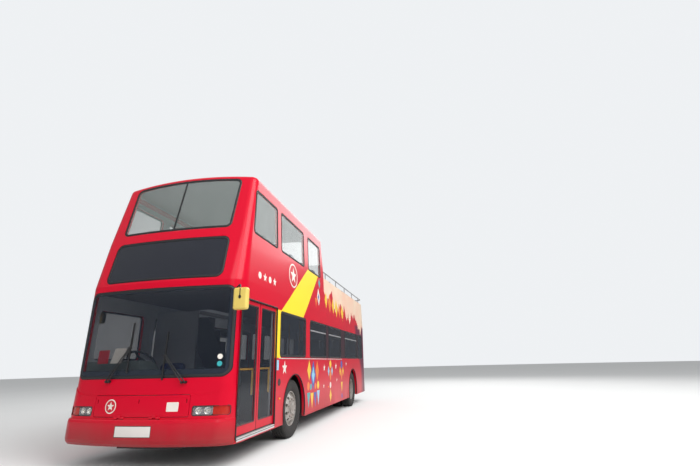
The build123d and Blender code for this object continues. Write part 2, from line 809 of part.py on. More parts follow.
def front_axle_beam():
    """Drop beam: low middle, cranked ends and an upright eye for each kingpin."""
    rise = wheel_centre - boss_half_height
    end_top = rise + beam_end_height
    crank = beam_drop_end + beam_rise_run
    half = [(kingpin_offset, rise), (kingpin_offset, end_top), (crank - beam_shoulder, end_top),
            (beam_drop_end - beam_skew, beam_top)]
    foot = [(beam_drop_end, beam_foot), (crank, rise)]
    outline = Polyline(*foot, *half, *[(-x, z) for x, z in reversed(foot + half)], close=True)
    beam = extrude(Plane.XZ * make_face(outline), beam_depth / 2, both=True)
    for x in (-kingpin_offset, kingpin_offset):
        beam += Pos(x, 0, wheel_centre) * Cylinder(boss_radius, 2 * boss_half_height)
    return Pos(0, at(front_axle_station), 0) * beam


write("front_axle", front_axle_beam())

# Rear portal axle: a low case between two knees, with a stub for the twin wheels at each end
rear_case = Pos(0, 0, (beam_foot + rail_foot) / 2) * Box(2 * rear_case_half_width, rear_case_depth,
                                                         rail_foot - beam_foot)
knee_height = rear_knee_top - beam_foot
for side in (-1, 1):
    rear_case += Pos(side * rear_knee_offset, 0, beam_foot + knee_height / 2) * Box(rear_knee_width,
                                                                                    rear_knee_depth, knee_height)
    stub = Rot(0, 90, 0) * Cylinder(rear_stub_radius, rear_stub_end - rear_stub_start)
    rear_case += Pos(side * (rear_stub_end + rear_stub_start) / 2, 0, wheel_centre) * stub
write("rear_axle", Pos(0, at(rear_axle_station), 0) * rear_case)


def knuckle(side):
    """Steering knuckle: a fork above and below the axle eye, a web, the spindle and a steering arm."""
    body = Part()
    for level in (-1, 1):
        centre = wheel_centre + level * (boss_half_height + fork_gap + fork_height / 2)
        body += Pos(0, 0, centre) * Cylinder(boss_radius, fork_height)
        body += Pos(web_end / 2, 0, centre) * Box(web_end, fork_width, fork_height)
    web_middle = (web_start + web_end) / 2
    fork_reach = boss_half_height + fork_height
    body += Pos(web_middle, 0, wheel_centre) * Box(web_end - web_start, fork_width, 2 * fork_reach)
    length = spindle_end - kingpin_offset - web_middle
    body += Pos(web_middle + length / 2, 0, wheel_centre) * (Rot(0, 90, 0) * Cylinder(spindle_radius, length))
    arm_height = wheel_centre - fork_reach + steering_arm_thickness / 2
    body += Pos(0, steering_arm_reach / 2, arm_height) * Box(steering_arm_width, steering_arm_reach,
                                                             steering_arm_thickness)
    if side < 0:
        body = mirrored(body)
    return Pos(side * kingpin_offset, at(front_axle_station), 0) * body


write("knuckle_nearside", knuckle(1))
write("knuckle_offside", knuckle(-1))


def turned(*points):
    """A half section of (x, radius) points, turned about X."""
    return revolve(Plane.XY * make_face(Polyline(*points, close=True)), Axis.X)


def tyre():
    """Tyre section turned about X: tread, shoulders, sidewalls and bead."""
    half = tyre_width / 2
    side = [(half - tyre_shoulder_width, tyre_radius), (half, tyre_radius - tyre_shoulder_depth),
            (half, rim_radius + tyre_sidewall_swell), (half - tyre_bead_inset, rim_radius)]
    return turned(*side, *[(-x, radius) for x, radius in reversed(side)])


def wheel_disc(dish, direction):
    """Rim barrel turned about X, with a coned disc whose flat middle lies at dish."""
    half = tyre_width / 2 - rim_inset
    bore = rim_radius - rim_wall
    rim = rim_radius - seat_gap
    barrel = turned((-half, bore), (half, bore), (half, rim), (-half, rim))
    lip = direction * disc_lip
    back = direction * disc_thickness
    weld = bore + rim_wall / 4
    cone = turned((lip, weld), (dish, disc_flat_radius), (dish, 0), (dish - back, 0),
                  (dish - back, disc_flat_radius - disc_thickness / 2), (lip - 1.4 * back, weld))
    hole = Pos(dish, 0, hand_hole_circle) * (Rot(0, 90, 0) * Cylinder(hand_hole_radius, rim_radius / 2))
    for index in range(hand_holes):
        cone -= Rot(index * 360 / hand_holes, 0, 0) * hole
    return barrel + cone


def drum(x0, x1, radius):
    """A plain turned cylinder about X."""
    return Pos((x0 + x1) / 2, 0, 0) * (Rot(0, 90, 0) * Cylinder(radius, x1 - x0))


# Wheels: single in front with outward dished discs, twin behind on one hub
for side, name in ((1, "nearside"), (-1, "offside")):
    place = Pos(side * front_wheel_offset, at(front_axle_station), wheel_centre)
    hub_start = spindle_end + seat_gap - front_wheel_offset
    front_rim = wheel_disc(front_dish, 1) + drum(hub_start, front_dish + front_hub_reach, front_hub_radius)
    write(f"front_tyre_{name}", place * tyre())
    write(f"front_rim_{name}", place * (front_rim if side > 0 else mirrored(front_rim)))
    outer_place = Pos(side * rear_outer_offset, at(rear_axle_station), wheel_centre)
    inner_place = Pos(side * rear_inner_offset, at(rear_axle_station), wheel_centre)
    write(f"rear_tyres_{name}", outer_place * tyre(), inner_place * tyre())
    flange = (rear_outer_offset + rear_inner_offset) / 2
    pair = Pos(rear_outer_offset, 0, 0) * wheel_disc(flange - rear_outer_offset + disc_thickness / 2, -1)
    pair += Pos(rear_inner_offset, 0, 0) * wheel_disc(flange - rear_inner_offset - disc_thickness / 2, 1)
    pair += drum(rear_stub_end + seat_gap, rear_outer_offset + rear_hub_reach, rear_hub_radius)
    pair = pair if side > 0 else mirrored(pair)
    write(f"rear_rims_{name}", Pos(0, at(rear_axle_station), wheel_centre) * pair)


# Seats: moulded shells on a pedestal, with a round-shouldered back for each passenger
seat_profile = Polyline(
    (0, 400), (0, 470), (400, 450), (470, 960), (530, 960), (480, 380), (300, 380), (270, 0), (210, 0),
    (200, 380), close=True)
seat_back_foot = 330
seat_back_top = 960


def seat(width, places):
    """A bench with its front edge on Y = 0, its floor on Z = 0 and its left end on X = 0."""
    profile = make_face(seat_profile)
    profile = fillet(profile.vertices(), cushion_round)
    bench = push(Plane(origin=(0, 0, 0), x_dir=(0, 1, 0), z_dir=(1, 0, 0)), profile, width)
    view = Pos(width / 2, seat_back_foot) * Rectangle(width, 2 * seat_back_foot)
    pitch = width / places
    for index in range(places):
        view += rounded(index * pitch + seat_notch / 2, (index + 1) * pitch - seat_notch / 2, seat_back_foot,
                        seat_back_top, seat_back_radius)
    front = Plane(origin=(0, bench_depth, 0), x_dir=(1, 0, 0), z_dir=(0, -1, 0))
    return bench & push(front, view, 2 * bench_depth)


double_seat = seat(seat_width, 2)


def seated(x, station, floor):
    """A double seat with its left end at x and its front edge at the station."""
    return Pos(x, at(station), floor) * double_seat


upper_seats = []
for row in range(upper_seat_rows):
    station = upper_seat_start + row * seat_pitch
    upper_seats.append(seated(upper_seat_side - seat_width, station, deck_height))
    if not upper_seat_stair_rows[0] <= row < upper_seat_stair_rows[1]:
        upper_seats.append(seated(-upper_seat_side, station, deck_height))
write("upper_seats", *upper_seats)
lower_seats = [seated(lower_seat_side - seat_width, station, floor_height) for station in lower_seat_stations]
lower_seats.append(seated(-lower_seat_side, offside_seat_station, floor_height))
bench = Pos(-lower_seat_side, at(bench_station), engine_deck_height - bench_drop) * seat(2 * lower_seat_side, 5)
lower_seats.append(bench & block(-lower_seat_side, lower_seat_side, bench_station, bench_station + bench_depth,
                                 engine_deck_height, deck_joint))
write("lower_seats", *lower_seats)

# Driver's seat, dash, steering wheel and the screen behind the driver
driver_width = driver_seat_span[1] - driver_seat_span[0]
driver_seat = Pos(driver_seat_span[0], at(driver_seat_station), floor_height) * seat(driver_width, 1)
write("driver_seat", driver_seat)
dash_face = make_face(Polyline(
    (dash_start, floor_height), (430, floor_height), (470, 700), (760, 760), (780, 1180), (590, 1320),
    (dash_start, 1330), close=True))
dashboard = push(side_plane(dash_span[0]), dash_face, dash_span[1] - dash_span[0]) & inside
steering_x, steering_station, steering_height = steering_wheel_place
tilt = radians(wheel_column_tilt)
wheel_plane = Plane(origin=(steering_x, at(steering_station), steering_height), x_dir=(1, 0, 0),
                    z_dir=(0, sin(tilt), cos(tilt)))
steering_wheel = Torus(steering_wheel_radius, steering_rim_radius)
for angle in (0, 120, 240):
    spoke = Pos(steering_wheel_radius / 2, 0, 0) * Box(steering_wheel_radius, 2 * steering_rim_radius,
                                                       steering_rim_radius)
    steering_wheel += Rot(0, 0, angle - 90) * spoke
steering_wheel += Cylinder(4 * steering_rim_radius, 1.5 * steering_rim_radius)
steering_wheel += Pos(0, 0, -steering_wheel_radius / 2) * Cylinder(2 * steering_rim_radius, steering_wheel_radius)
steering_wheel = wheel_plane * steering_wheel
write("dashboard", dashboard)
write("steering_wheel", steering_wheel - dashboard)
cab_screen = block(*cab_screen_span, cab_screen_station, cab_screen_station + cab_screen_thickness, floor_height,
                   cab_screen_height)
write("cab_partition", cab_screen)

# Rail round the open deck
rail_height = open_side_height + rail_rise
rail_line = half_width - rail_inset
rail_back = body_length / 2 - rail_end_inset
rail_path = FilletPolyline(
    (rail_line, at(pillar_foot_station), rail_height), (rail_line, rail_back, rail_height),
    (-rail_line, rail_back, rail_height), (-rail_line, at(pillar_foot_station), rail_height), radius=rail_bend)
rail = sweep(Plane(rail_path @ 0, z_dir=rail_path % 0) * Circle(rail_radius), rail_path)
for x in (-rail_line, rail_line):
    for index in range(stanchion_count):
        foot = Pos(x, at(stanchion_start + index * stanchion_pitch), open_side_height + seat_gap)
        rail += foot * Cylinder(stanchion_radius, rail_height - open_side_height,
                                align=(Align.CENTER, Align.CENTER, Align.MIN))
write("deck_rails", rail)

# Mirrors: a round-edged head below a bent tube that is rooted in the body's corner
mirrors = []
for side, *places in mirror_places:
    root, bend, head = [(side * x, at(station), height) for x, station, height in places]
    arm = FilletPolyline(root, bend, head, radius=mirror_edge_radius)
    tube = sweep(Plane(arm @ 0, z_dir=arm % 0) * Circle(mirror_arm_radius), arm)
    mirrors.append((tube - hull(-seat_gap)) + Pos(*head) * fillet(Box(*mirror_size).edges(), mirror_edge_radius))
write("mirrors", *mirrors)
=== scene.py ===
"""Open top double decker bus: finishes, rubbers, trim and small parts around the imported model.

Lengths are in metres. The front faces -Y and the entrance side is +X. A station is a distance
back from the front bumper's face, as on a coachbuilder's drawing.
"""

import math

import bmesh
import bpy
import numpy as np
from mathutils import Matrix, Vector


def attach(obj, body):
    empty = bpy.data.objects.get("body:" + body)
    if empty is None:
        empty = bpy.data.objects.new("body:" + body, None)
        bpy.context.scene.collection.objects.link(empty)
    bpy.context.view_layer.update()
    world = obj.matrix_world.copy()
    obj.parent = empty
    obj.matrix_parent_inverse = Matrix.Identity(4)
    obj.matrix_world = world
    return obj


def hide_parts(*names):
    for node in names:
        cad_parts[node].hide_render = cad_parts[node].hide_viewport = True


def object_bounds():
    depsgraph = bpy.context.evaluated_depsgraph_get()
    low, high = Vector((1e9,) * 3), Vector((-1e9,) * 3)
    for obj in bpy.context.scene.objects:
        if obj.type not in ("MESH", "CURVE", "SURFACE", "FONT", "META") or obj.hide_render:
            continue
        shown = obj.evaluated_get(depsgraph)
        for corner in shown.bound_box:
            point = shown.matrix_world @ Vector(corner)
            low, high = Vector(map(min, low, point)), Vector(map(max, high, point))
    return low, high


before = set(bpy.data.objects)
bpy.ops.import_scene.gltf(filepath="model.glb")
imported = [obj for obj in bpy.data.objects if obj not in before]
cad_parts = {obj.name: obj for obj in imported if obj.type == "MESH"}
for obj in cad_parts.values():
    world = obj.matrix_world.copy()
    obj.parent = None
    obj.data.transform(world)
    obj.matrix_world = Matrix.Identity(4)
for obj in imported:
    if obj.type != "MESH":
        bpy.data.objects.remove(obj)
cad_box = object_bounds()

# Floor, light and camera. A pale floor, a pale sky and large soft lamps stand for a photo studio,
# and the camera stands low in front of the entrance side and looks up, as in the photograph.
floor_colour = (0.80, 0.80, 0.79, 1)
sky_colour = (0.86, 0.88, 0.90, 1)
sky_light = 0.56
mirrored_horizon = 0.22
mirrored_zenith = 0.85
camera_place = (3.869, -9.831, 1.224)
camera_yaw = math.radians(11.497)
camera_tilt = math.radians(17.942)
camera_roll = math.radians(-1.534)
camera_lens = 20.618
floor_reach = 90.0
lamp_aim = (0.0, 0.0, 1.5)
# columns: place, size across, power in watts
lamps = (
    ((15.0, -10.0, 15.0), 15.0, 3900),
    ((7.0, -21.0, 13.0), 13.0, 1500),
    ((5.0, 14.0, 14.0), 14.0, 1500),
)


class Value:
    """One output of a node. Arithmetic on it adds the Math nodes that work it out."""

    def __init__(self, tree, socket):
        self.tree = tree
        self.socket = socket

    def math(self, operation, *terms):
        settings = {"operation": operation}
        return self.tree.node("ShaderNodeMath", settings, dict(enumerate(terms)))

    def __add__(self, other):
        return self.math("ADD", self, other)

    def __radd__(self, other):
        return self.math("ADD", other, self)

    def __sub__(self, other):
        return self.math("SUBTRACT", self, other)

    def __rsub__(self, other):
        return self.math("SUBTRACT", other, self)

    def __mul__(self, other):
        return self.math("MULTIPLY", self, other)

    def __rmul__(self, other):
        return self.math("MULTIPLY", other, self)

    def __abs__(self):
        return self.math("ABSOLUTE", self)

    def sine(self):
        return self.math("SINE", self)

    def root(self):
        return self.math("SQRT", self)

    def least(self, other):
        return self.math("MINIMUM", self, other)

    def most(self, other):
        return self.math("MAXIMUM", self, other)

    def past(self, edge, blur=0.002):
        """0 before the edge and 1 past it, with a smooth ramp as wide as the blur."""
        sockets = {0: self - edge, 1: -blur / 2, 2: blur / 2, 3: 0.0, 4: 1.0}
        return self.tree.node("ShaderNodeMapRange", {"interpolation_type": "SMOOTHSTEP"}, sockets)

    def between(self, low, high, blur=0.002):
        return self.past(low, blur) * (1 - self.past(high, blur))


class Tree:
    """The emptied node tree of a material or of the world."""

    def __init__(self, tree):
        self.tree = tree
        tree.nodes.clear()

    def node(self, kind, settings, sockets, output=0):
        """Adds a node: first its settings, then each socket's value or link; returns one output."""
        node = self.tree.nodes.new(kind)
        for key, value in settings.items():
            setattr(node, key, value)
        for key, value in sockets.items():
            value = getattr(value, "socket", value)
            if isinstance(value, bpy.types.NodeSocket):
                self.tree.links.new(value, node.inputs[key])
            else:
                node.inputs[key].default_value = value
        return None if output is None else Value(self, node.outputs[output])

    def split(self, vector):
        """The three parts of a vector."""
        first = self.node("ShaderNodeSeparateXYZ", {}, {0: vector})
        return [Value(self, socket) for socket in first.socket.node.outputs]


class Finish(Tree):
    """One material with a Principled shader. What is the same all over is set on its own sockets."""

    def __init__(self, name, **constants):
        self.material = bpy.data.materials.new(name)
        self.material.use_nodes = True
        super().__init__(self.material.node_tree)
        self.shader = self.node("ShaderNodeBsdfPrincipled", {}, {}).socket.node
        self.node("ShaderNodeOutputMaterial", {}, {"Surface": self.shader.outputs[0]}, None)
        self.set(**constants)
        self.place = self.node("ShaderNodeTexCoord", {}, {}, "Object")
        self.x, self.y, self.z = self.split(self.place)

    def facing(self):
        """The three parts of the surface's own direction."""
        return self.split(Value(self, self.place.socket.node.outputs["Normal"]))

    def set(self, **values):
        """Sets or links the shader's sockets; a name is written in small letters with _ for a space."""
        for key, value in values.items():
            socket = self.shader.inputs[key.replace("_", " ").title().replace("Ior", "IOR")]
            value = getattr(value, "socket", value)
            if isinstance(value, bpy.types.NodeSocket):
                self.tree.links.new(value, socket)
            else:
                socket.default_value = value

    def mix(self, share, first, second):
        """A colour between two colours."""
        return self.node("ShaderNodeMix", {"data_type": "RGBA"}, {0: share, 6: first, 7: second}, 2)

    def noise(self, scale, detail=2.0, stretch=None):
        """Cloudy noise about 0.5; stretch is the scale of each axis."""
        place = self.place
        if stretch:
            place = self.node("ShaderNodeMapping", {}, {"Vector": place, "Scale": stretch})
        return self.node("ShaderNodeTexNoise", {}, {"Vector": place, "Scale": scale, "Detail": detail})

    def bump(self, height, depth):
        """Raises the surface by height times depth, in metres."""
        sockets = {"Height": height, "Distance": depth, "Strength": 1.0}
        self.set(normal=self.node("ShaderNodeBump", {}, sockets))


def shade(colour, share):
    """A colour made lighter or darker by a share."""
    return tuple(share * part for part in colour[:3]) + (1,)


floor_finish = Finish("studio_floor", roughness=0.9)
floor_drift = floor_finish.noise(0.35)
floor_finish.set(base_color=floor_finish.mix(floor_drift, floor_colour, shade(floor_colour, 0.96)))
floor_mesh = bpy.data.meshes.new("floor")
turn = np.linspace(0, 2 * np.pi, 97)[:-1]
floor_edge = floor_reach * np.stack([np.cos(turn), np.sin(turn), 0 * turn], axis=1)
floor_mesh.from_pydata(floor_edge.tolist(), [], [list(range(len(turn)))])
floor_mesh.materials.append(floor_finish.material)
floor = bpy.data.objects.new("floor", floor_mesh)
bpy.context.collection.objects.link(floor)

world = bpy.data.worlds.new("studio")
world.use_nodes = True
studio = Tree(world.node_tree)
rise = studio.split(studio.node("ShaderNodeTexCoord", {}, {}, "Generated"))[2]
seen = studio.node("ShaderNodeLightPath", {}, {}, "Is Camera Ray")
glossy = Value(studio, seen.socket.node.outputs["Is Glossy Ray"])
mirrored = mirrored_horizon + rise.past(0.45, 0.9) * (mirrored_zenith - mirrored_horizon)
strength = sky_light + seen * (1 - sky_light) + glossy * (mirrored - sky_light)
backdrop = studio.node("ShaderNodeBackground", {}, {"Color": sky_colour, "Strength": strength})
studio.node("ShaderNodeOutputWorld", {}, {"Surface": backdrop}, None)
bpy.context.scene.world = world
for index, (place, across, power) in enumerate(lamps):
    light = bpy.data.lights.new(f"softbox_{index}", "AREA")
    light.shape = "DISK"
    light.size = across
    light.energy = power
    lamp = bpy.data.objects.new(light.name, light)
    lamp.location = place
    lamp.rotation_euler = (Vector(lamp_aim) - lamp.location).to_track_quat("-Z", "Y").to_euler()
    bpy.context.collection.objects.link(lamp)

camera = bpy.data.objects.new("camera", bpy.data.cameras.new("camera"))
camera.data.lens = camera_lens
camera.data.sensor_width = 36
level = math.cos(camera_tilt)
ahead = Vector((-math.sin(camera_yaw) * level, math.cos(camera_yaw) * level, math.sin(camera_tilt)))
right = Vector((math.cos(camera_yaw), math.sin(camera_yaw), 0))
up = right.cross(ahead)
across = math.cos(camera_roll) * right + math.sin(camera_roll) * up
above = math.cos(camera_roll) * up - math.sin(camera_roll) * right
camera_turn = Matrix((across, above, -ahead)).transposed().to_4x4()
camera.matrix_world = Matrix.Translation(camera_place) @ camera_turn
bpy.context.collection.objects.link(camera)
bpy.context.scene.camera = camera
bpy.context.scene.view_settings.view_transform = "Standard"

# Painted panels. Pressed aluminium and glass fibre, sprayed in gloss red; the livery over it is a
# yellow slanting stripe, a pale zone on the open deck with red streaks, and a plum tail.
body_red = (0.58, 0.0005, 0.020, 1)
stripe_yellow = (0.93, 0.66, 0.03, 1)
deck_pale = (0.84, 0.66, 0.50, 1)
deck_blush = (0.86, 0.42, 0.30, 1)
tail_plum = (0.13, 0.010, 0.040, 1)
road_dust = (0.20, 0.10, 0.08, 1)
pillar_dark = (0.035, 0.008, 0.016, 1)
lining_grey = (0.44, 0.46, 0.48, 1)
front_face = cad_box[0].y
window_head = 2.10
# columns: station at the window heads, station gained for each metre of height
stripe_front = (1.75, 1.46)
stripe_rear = (2.97, 1.06)
stripe_head = 3.19
strip_span = (1.60, 1.80)
strip_foot = 1.335
pillar_span = (1.345, 2.115)
pale_start = 4.60
pale_foot = 2.84
tail_start = 8.70
deck_line = 2.40
# columns: first station, last station
dark_pillars = ((4.70, 4.98), (6.25, 6.79), (8.52, 8.72))
# Top of the road dust on the panels, and of the painted shade low on the bumper.
dust_and_shade_head = 0.50
plate_half_width = 0.255
plate_span = (0.405, 0.525)


def coach_paint(name, livery, inner=None):
    """Gloss paint with a slow drift of tone, fine orange peel and dust that thickens to the skirt.

    The livery is a function that lays its colours over the red, painted shade among them on the
    bumper, and returns the result, and inner is one that returns 1 where the panel is lined in grey.
    """
    finish = Finish(name, coat_weight=0.12, coat_roughness=0.08, specular_ior_level=0.16)
    drift = finish.noise(0.9, 3.0)
    red = finish.mix(drift * 0.5, body_red, shade(body_red, 0.78))
    colour = livery(finish, red)
    smear = finish.noise(2.2, 4.0, (1.0, 1.0, 0.35))
    dust = (1 - finish.z.past(dust_and_shade_head, 0.55)) * smear.past(0.46, 0.35) * 0.3
    colour = finish.mix(dust, colour, road_dust)
    if inner:
        colour = finish.mix(inner(finish), colour, lining_grey)
    finish.set(base_color=colour, roughness=0.26 + dust * 0.6 + drift * 0.06)
    finish.bump(finish.noise(140, 1.0), 0.00005)
    return finish


def plain_livery(finish, red):
    """Red all over."""
    return red


def bumper_shade_and_plate(finish, red):
    """Painted shade: darker red low down on the bumper, where less light falls, and the blank pale number
    plate with a dark edge.
    """
    # Painted shade: below about half a metre the red darkens to 0.62 of itself, for the shadow low on the
    # bumper.
    red = finish.mix(1 - finish.z.past(dust_and_shade_head, 0.30), red, shade(body_red, 0.62))
    ahead = 1 - finish.y.past(front_face + 0.20)
    rim = 0.008
    edge = 1 - abs(finish.x).past(plate_half_width + rim)
    edge = edge * finish.z.between(plate_span[0] - rim, plate_span[1] + rim)
    plate = (1 - abs(finish.x).past(plate_half_width)) * finish.z.between(*plate_span)
    red = finish.mix(edge * ahead, red, (0.02, 0.02, 0.02, 1))
    return finish.mix(plate * ahead, red, (0.72, 0.70, 0.66, 1))


def side_livery(finish, red):
    """The stripe and its strip down the first window, the pale open deck and the plum tail."""
    station = finish.y - front_face
    lift = finish.z - window_head
    stripe = station.past(stripe_front[0] + stripe_front[1] * lift)
    stripe = stripe * finish.z.between(window_head, stripe_head)
    stripe = stripe * (1 - station.past(stripe_rear[0] + stripe_rear[1] * lift))
    strip = station.between(*strip_span) * finish.z.between(strip_foot, window_head + 0.02)
    streaks = finish.noise(1.0, 3.0, (0.0, 3.4, 0.22))
    ragged = pale_foot - (station - pale_start) * 0.10 + (streaks - 0.5) * 1.3
    pale = station.past(pale_start + lift * 0.02) * finish.z.past(ragged, 0.02)
    pale_tone = finish.mix(finish.noise(1.3, 3.0).past(0.5, 0.5) * 0.6, deck_pale, deck_blush)
    tail_edge = tail_start - 0.22 * lift + 0.30 * (finish.z * 2.1).sine()
    tail = station.past(tail_edge, 0.5) * (1 - finish.z.past(deck_line, 0.1))
    colour = finish.mix(tail, red, tail_plum)
    colour = finish.mix(pale, colour, pale_tone)
    colour = finish.mix(stripe.most(strip), colour, stripe_yellow)
    first, second, third = (station.between(*span, 0.01) for span in dark_pillars)
    pillars = first.most(second).most(third)
    return finish.mix(pillars * finish.z.between(*pillar_span, 0.01), colour, pillar_dark)


def tail_livery(finish, red):
    """The plum tail below, pale above."""
    return finish.mix(1 - finish.z.past(deck_line, 0.1), shade(deck_pale, 0.9), tail_plum)


def side_lining(finish):
    """1 on the faces of a side panel that look into the bus."""
    return (0 - finish.facing()[0] * finish.x).past(0.5, 0.2)


def front_lining(finish):
    """1 on the faces that look back."""
    return finish.facing()[1].past(0.4, 0.2)


def rear_lining(finish):
    """1 on the faces that look ahead."""
    return (0 - finish.facing()[1]).past(0.4, 0.2)


def ceiling(finish):
    """1 on the faces that look down."""
    return (0 - finish.facing()[2]).past(0.4, 0.2)


def dress(finish, *nodes):
    """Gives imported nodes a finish."""
    for name in nodes:
        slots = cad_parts[name].data.materials
        slots.clear()
        slots.append(finish.material)


dress(coach_paint("front_paint", plain_livery, front_lining), "front_panel", "front_flap",
      "upper_front_panel")
dress(coach_paint("roof_paint", plain_livery, ceiling), "roof")
# The bumper's red is darker low down: painted shade.
dress(coach_paint("bumper_paint", bumper_shade_and_plate), "front_bumper")
dress(coach_paint("side_paint", side_livery, side_lining), "lower_side_nearside", "lower_side_offside",
      "upper_side_nearside", "upper_side_offside", "emergency_door")
dress(coach_paint("tail_paint", tail_livery, rear_lining), "rear_panel_lower", "rear_panel_upper",
      "rear_bumper", "engine_flap")

# Windows. Lightly tinted safety glass with a black printed edge on the windscreen, darker in the
# display box, bonded into rebates in the panels.
glass_tint = (0.020, 0.026, 0.038, 1)
screen_half_width = 1.17
screen_span = (1.11, 2.30)
screen_cover = 0.30
edge_side = 0.07
edge_foot = 0.09
edge_head = 0.04


def tinted(name, tint, cover, film=0.0):
    """Smooth glass that hides the given share of what is behind it."""
    finish = Finish(name, base_color=tint, ior=1.5)
    haze = finish.noise(1.6, 3.0)
    finish.set(roughness=0.015 + haze * 0.03, alpha=cover + haze * film)
    return finish


def printed_edge(finish, cover):
    """The windscreen's opaque black edge: narrow at its head, wider at its sides and foot."""
    low = screen_span[0] + edge_foot
    high = screen_span[1] - edge_head
    clear = 1 - abs(finish.x).past(screen_half_width - edge_side, 0.03)
    clear = clear * finish.z.between(low, high, 0.02)
    finish.set(alpha=cover + (1 - clear) * (0.96 - cover))


dress(tinted("window_glass", glass_tint, 0.50, 0.1), "lower_glass", "rear_window", "emergency_door_glass")
dress(tinted("door_glass", glass_tint, 0.28, 0.1), "front_door_glass", "rear_door_glass")
dress(tinted("upper_glass", (0.30, 0.34, 0.32, 1), 0.22, 0.1), "upper_windscreen", "upper_glass")
dress(tinted("display_glass", (0.012, 0.014, 0.022, 1), 0.94), "display_glass")
screen_glass = tinted("screen_glass", glass_tint, screen_cover)
printed_edge(screen_glass, screen_cover)
dress(screen_glass, "windscreen")

# Rubbers round the fixed glass. An extruded black weatherstrip laps the panel outside and the
# glass inside, in one closed hoop round each window.
sides = ((1, "nearside"), (-1, "offside"))
body_half = 1.26
rear_bow = 0.03
rear_inset = 0.02
# columns: height, lean of each side, setback of the front, bow of the front, front corner radius
shell_sections = np.array((
    (0.285, 0.0, 0.040, 0.185, 0.270),
    (1.080, 0.0, 0.090, 0.165, 0.265),
    (2.400, 0.0, 0.145, 0.130, 0.235),
    (3.130, 0.026, 0.327, 0.110, 0.150),
    (4.300, 0.072, 0.620, 0.100, 0.120),
))
rubber_colour = (0.010, 0.010, 0.012, 1)
# columns: across the edge of the pane, proud of the skin
rubber_section = ((-0.024, -0.006), (-0.022, 0.001), (-0.010, 0.004), (0.004, 0.003), (0.009, 0.0),
                  (0.009, -0.006))


def on_side(side):
    """The outer skin of one side: a point for each station and height."""
    def skin(station, height):
        lean = np.interp(height, shell_sections[:, 0], shell_sections[:, 1])
        return np.stack([side * (body_half - lean), station + front_face, height], axis=-1)
    return skin


def on_front(x, height):
    """The outer skin of the bowed front: a shallow arc across it that runs into a round corner.

    The arc's radius is the half width squared plus the bow squared, over twice the bow. Where the
    corner's circle touches that arc from inside, the depth changes from the arc's to the circle's.
    """
    lean, setback, bow, corner = (np.interp(height, shell_sections[:, 0], column)
                                  for column in shell_sections[:, 1:].T)
    width = body_half - lean
    radius = (width**2 + bow**2) / (2 * bow)
    corner_x = width - corner
    corner_y = radius - np.sqrt((radius - corner)**2 - corner_x**2)
    meeting = corner_x * radius / (radius - corner)
    arc = radius - np.sqrt(radius**2 - np.minimum(np.abs(x), meeting)**2)
    beyond = np.clip(np.abs(x) - corner_x, 0, corner)
    round_end = corner_y - np.sqrt(corner**2 - beyond**2)
    depth = np.where(np.abs(x) < meeting, arc, round_end)
    return np.stack([x, front_face + setback + depth, height], axis=-1)


def on_rear(x, height):
    """The outer skin of the rear, a shallow arc across it."""
    radius = (body_half**2 + rear_bow**2) / (2 * rear_bow)
    depth = rear_inset + radius - np.sqrt(radius**2 - x**2)
    return np.stack([x, -front_face - depth, height], axis=-1)


def filleted(corners, radius, steps=8, spacing=0.1):
    """A closed outline: straight lines between corners, each corner turned by an arc of the radius."""
    corners = np.array(corners, float)
    arcs = []
    for before, corner, after in zip(np.roll(corners, 1, axis=0), corners, np.roll(corners, -1, axis=0)):
        back = (before - corner) / np.linalg.norm(before - corner)
        ahead = (after - corner) / np.linalg.norm(after - corner)
        half = math.acos(np.clip(back @ ahead, -1, 1)) / 2
        inward = (back + ahead) / max(np.linalg.norm(back + ahead), 1e-9)
        centre = corner + inward * radius / math.sin(half)
        start, end = (corner + way * radius / math.tan(half) - centre for way in (back, ahead))
        first = math.atan2(start[1], start[0])
        sweep = (math.atan2(end[1], end[0]) - first + math.pi) % (2 * math.pi) - math.pi
        angle = first + sweep * np.linspace(0, 1, steps + 1)
        arcs.append(centre + radius * np.stack([np.cos(angle), np.sin(angle)], axis=1))
    outline = []
    for arc, after in zip(arcs, arcs[1:] + arcs[:1]):
        count = max(int(np.linalg.norm(after[0] - arc[-1]) / spacing), 1)
        share = np.linspace(0, 1, count + 1)[1:-1, None]
        outline += [arc, arc[-1] + share * (after[0] - arc[-1])]
    outline = np.concatenate(outline)
    return outline[np.linalg.norm(outline - np.roll(outline, 1, axis=0), axis=1) > 1e-5]


def rounded(first, last, low, high, radius):
    """A rectangle's outline with round corners."""
    return filleted(((first, low), (last, low), (last, high), (first, high)), radius)


def grid(points, wrap_u=False, wrap_v=False):
    """Vertices and quads of a grid of points, joined end to start where it wraps."""
    index = np.arange(points.shape[0] * points.shape[1]).reshape(points.shape[:2])
    if wrap_u:
        index = np.concatenate([index, index[:1]])
    if wrap_v:
        index = np.concatenate([index, index[:, :1]], axis=1)
    quads = np.stack([index[:-1, :-1], index[1:, :-1], index[1:, 1:], index[:-1, 1:]], axis=-1)
    return points.reshape(-1, 3), quads.reshape(-1, 4)


def normals_of(skin, u, v, step=0.002):
    """Unit normals of a skin by small differences, pointing away from the middle of the bus."""
    along = skin(u + step, v) - skin(u - step, v)
    rise = skin(u, v + step) - skin(u, v - step)
    normal = np.cross(along, rise)
    normal /= np.linalg.norm(normal, axis=-1, keepdims=True)
    outward = skin(u, v) * (1, 1, 0)
    return normal * np.sign((normal * outward).sum(-1, keepdims=True))


def lifted(skin, u, v, proud):
    """Points that stand proud of a skin."""
    return skin(u, v) + normals_of(skin, u, v) * proud


def hoop(outline, skin, section):
    """A section of (across, proud) points carried round a closed outline on a skin."""
    ahead = np.roll(outline, -1, axis=0) - np.roll(outline, 1, axis=0)
    ahead /= np.linalg.norm(ahead, axis=1, keepdims=True)
    across = np.stack([ahead[:, 1], -ahead[:, 0]], axis=1)
    section = np.array(section)
    places = outline[:, None, :] + across[:, None, :] * section[None, :, :1]
    return grid(lifted(skin, places[..., 0], places[..., 1], section[None, :, 1:]), True, True)


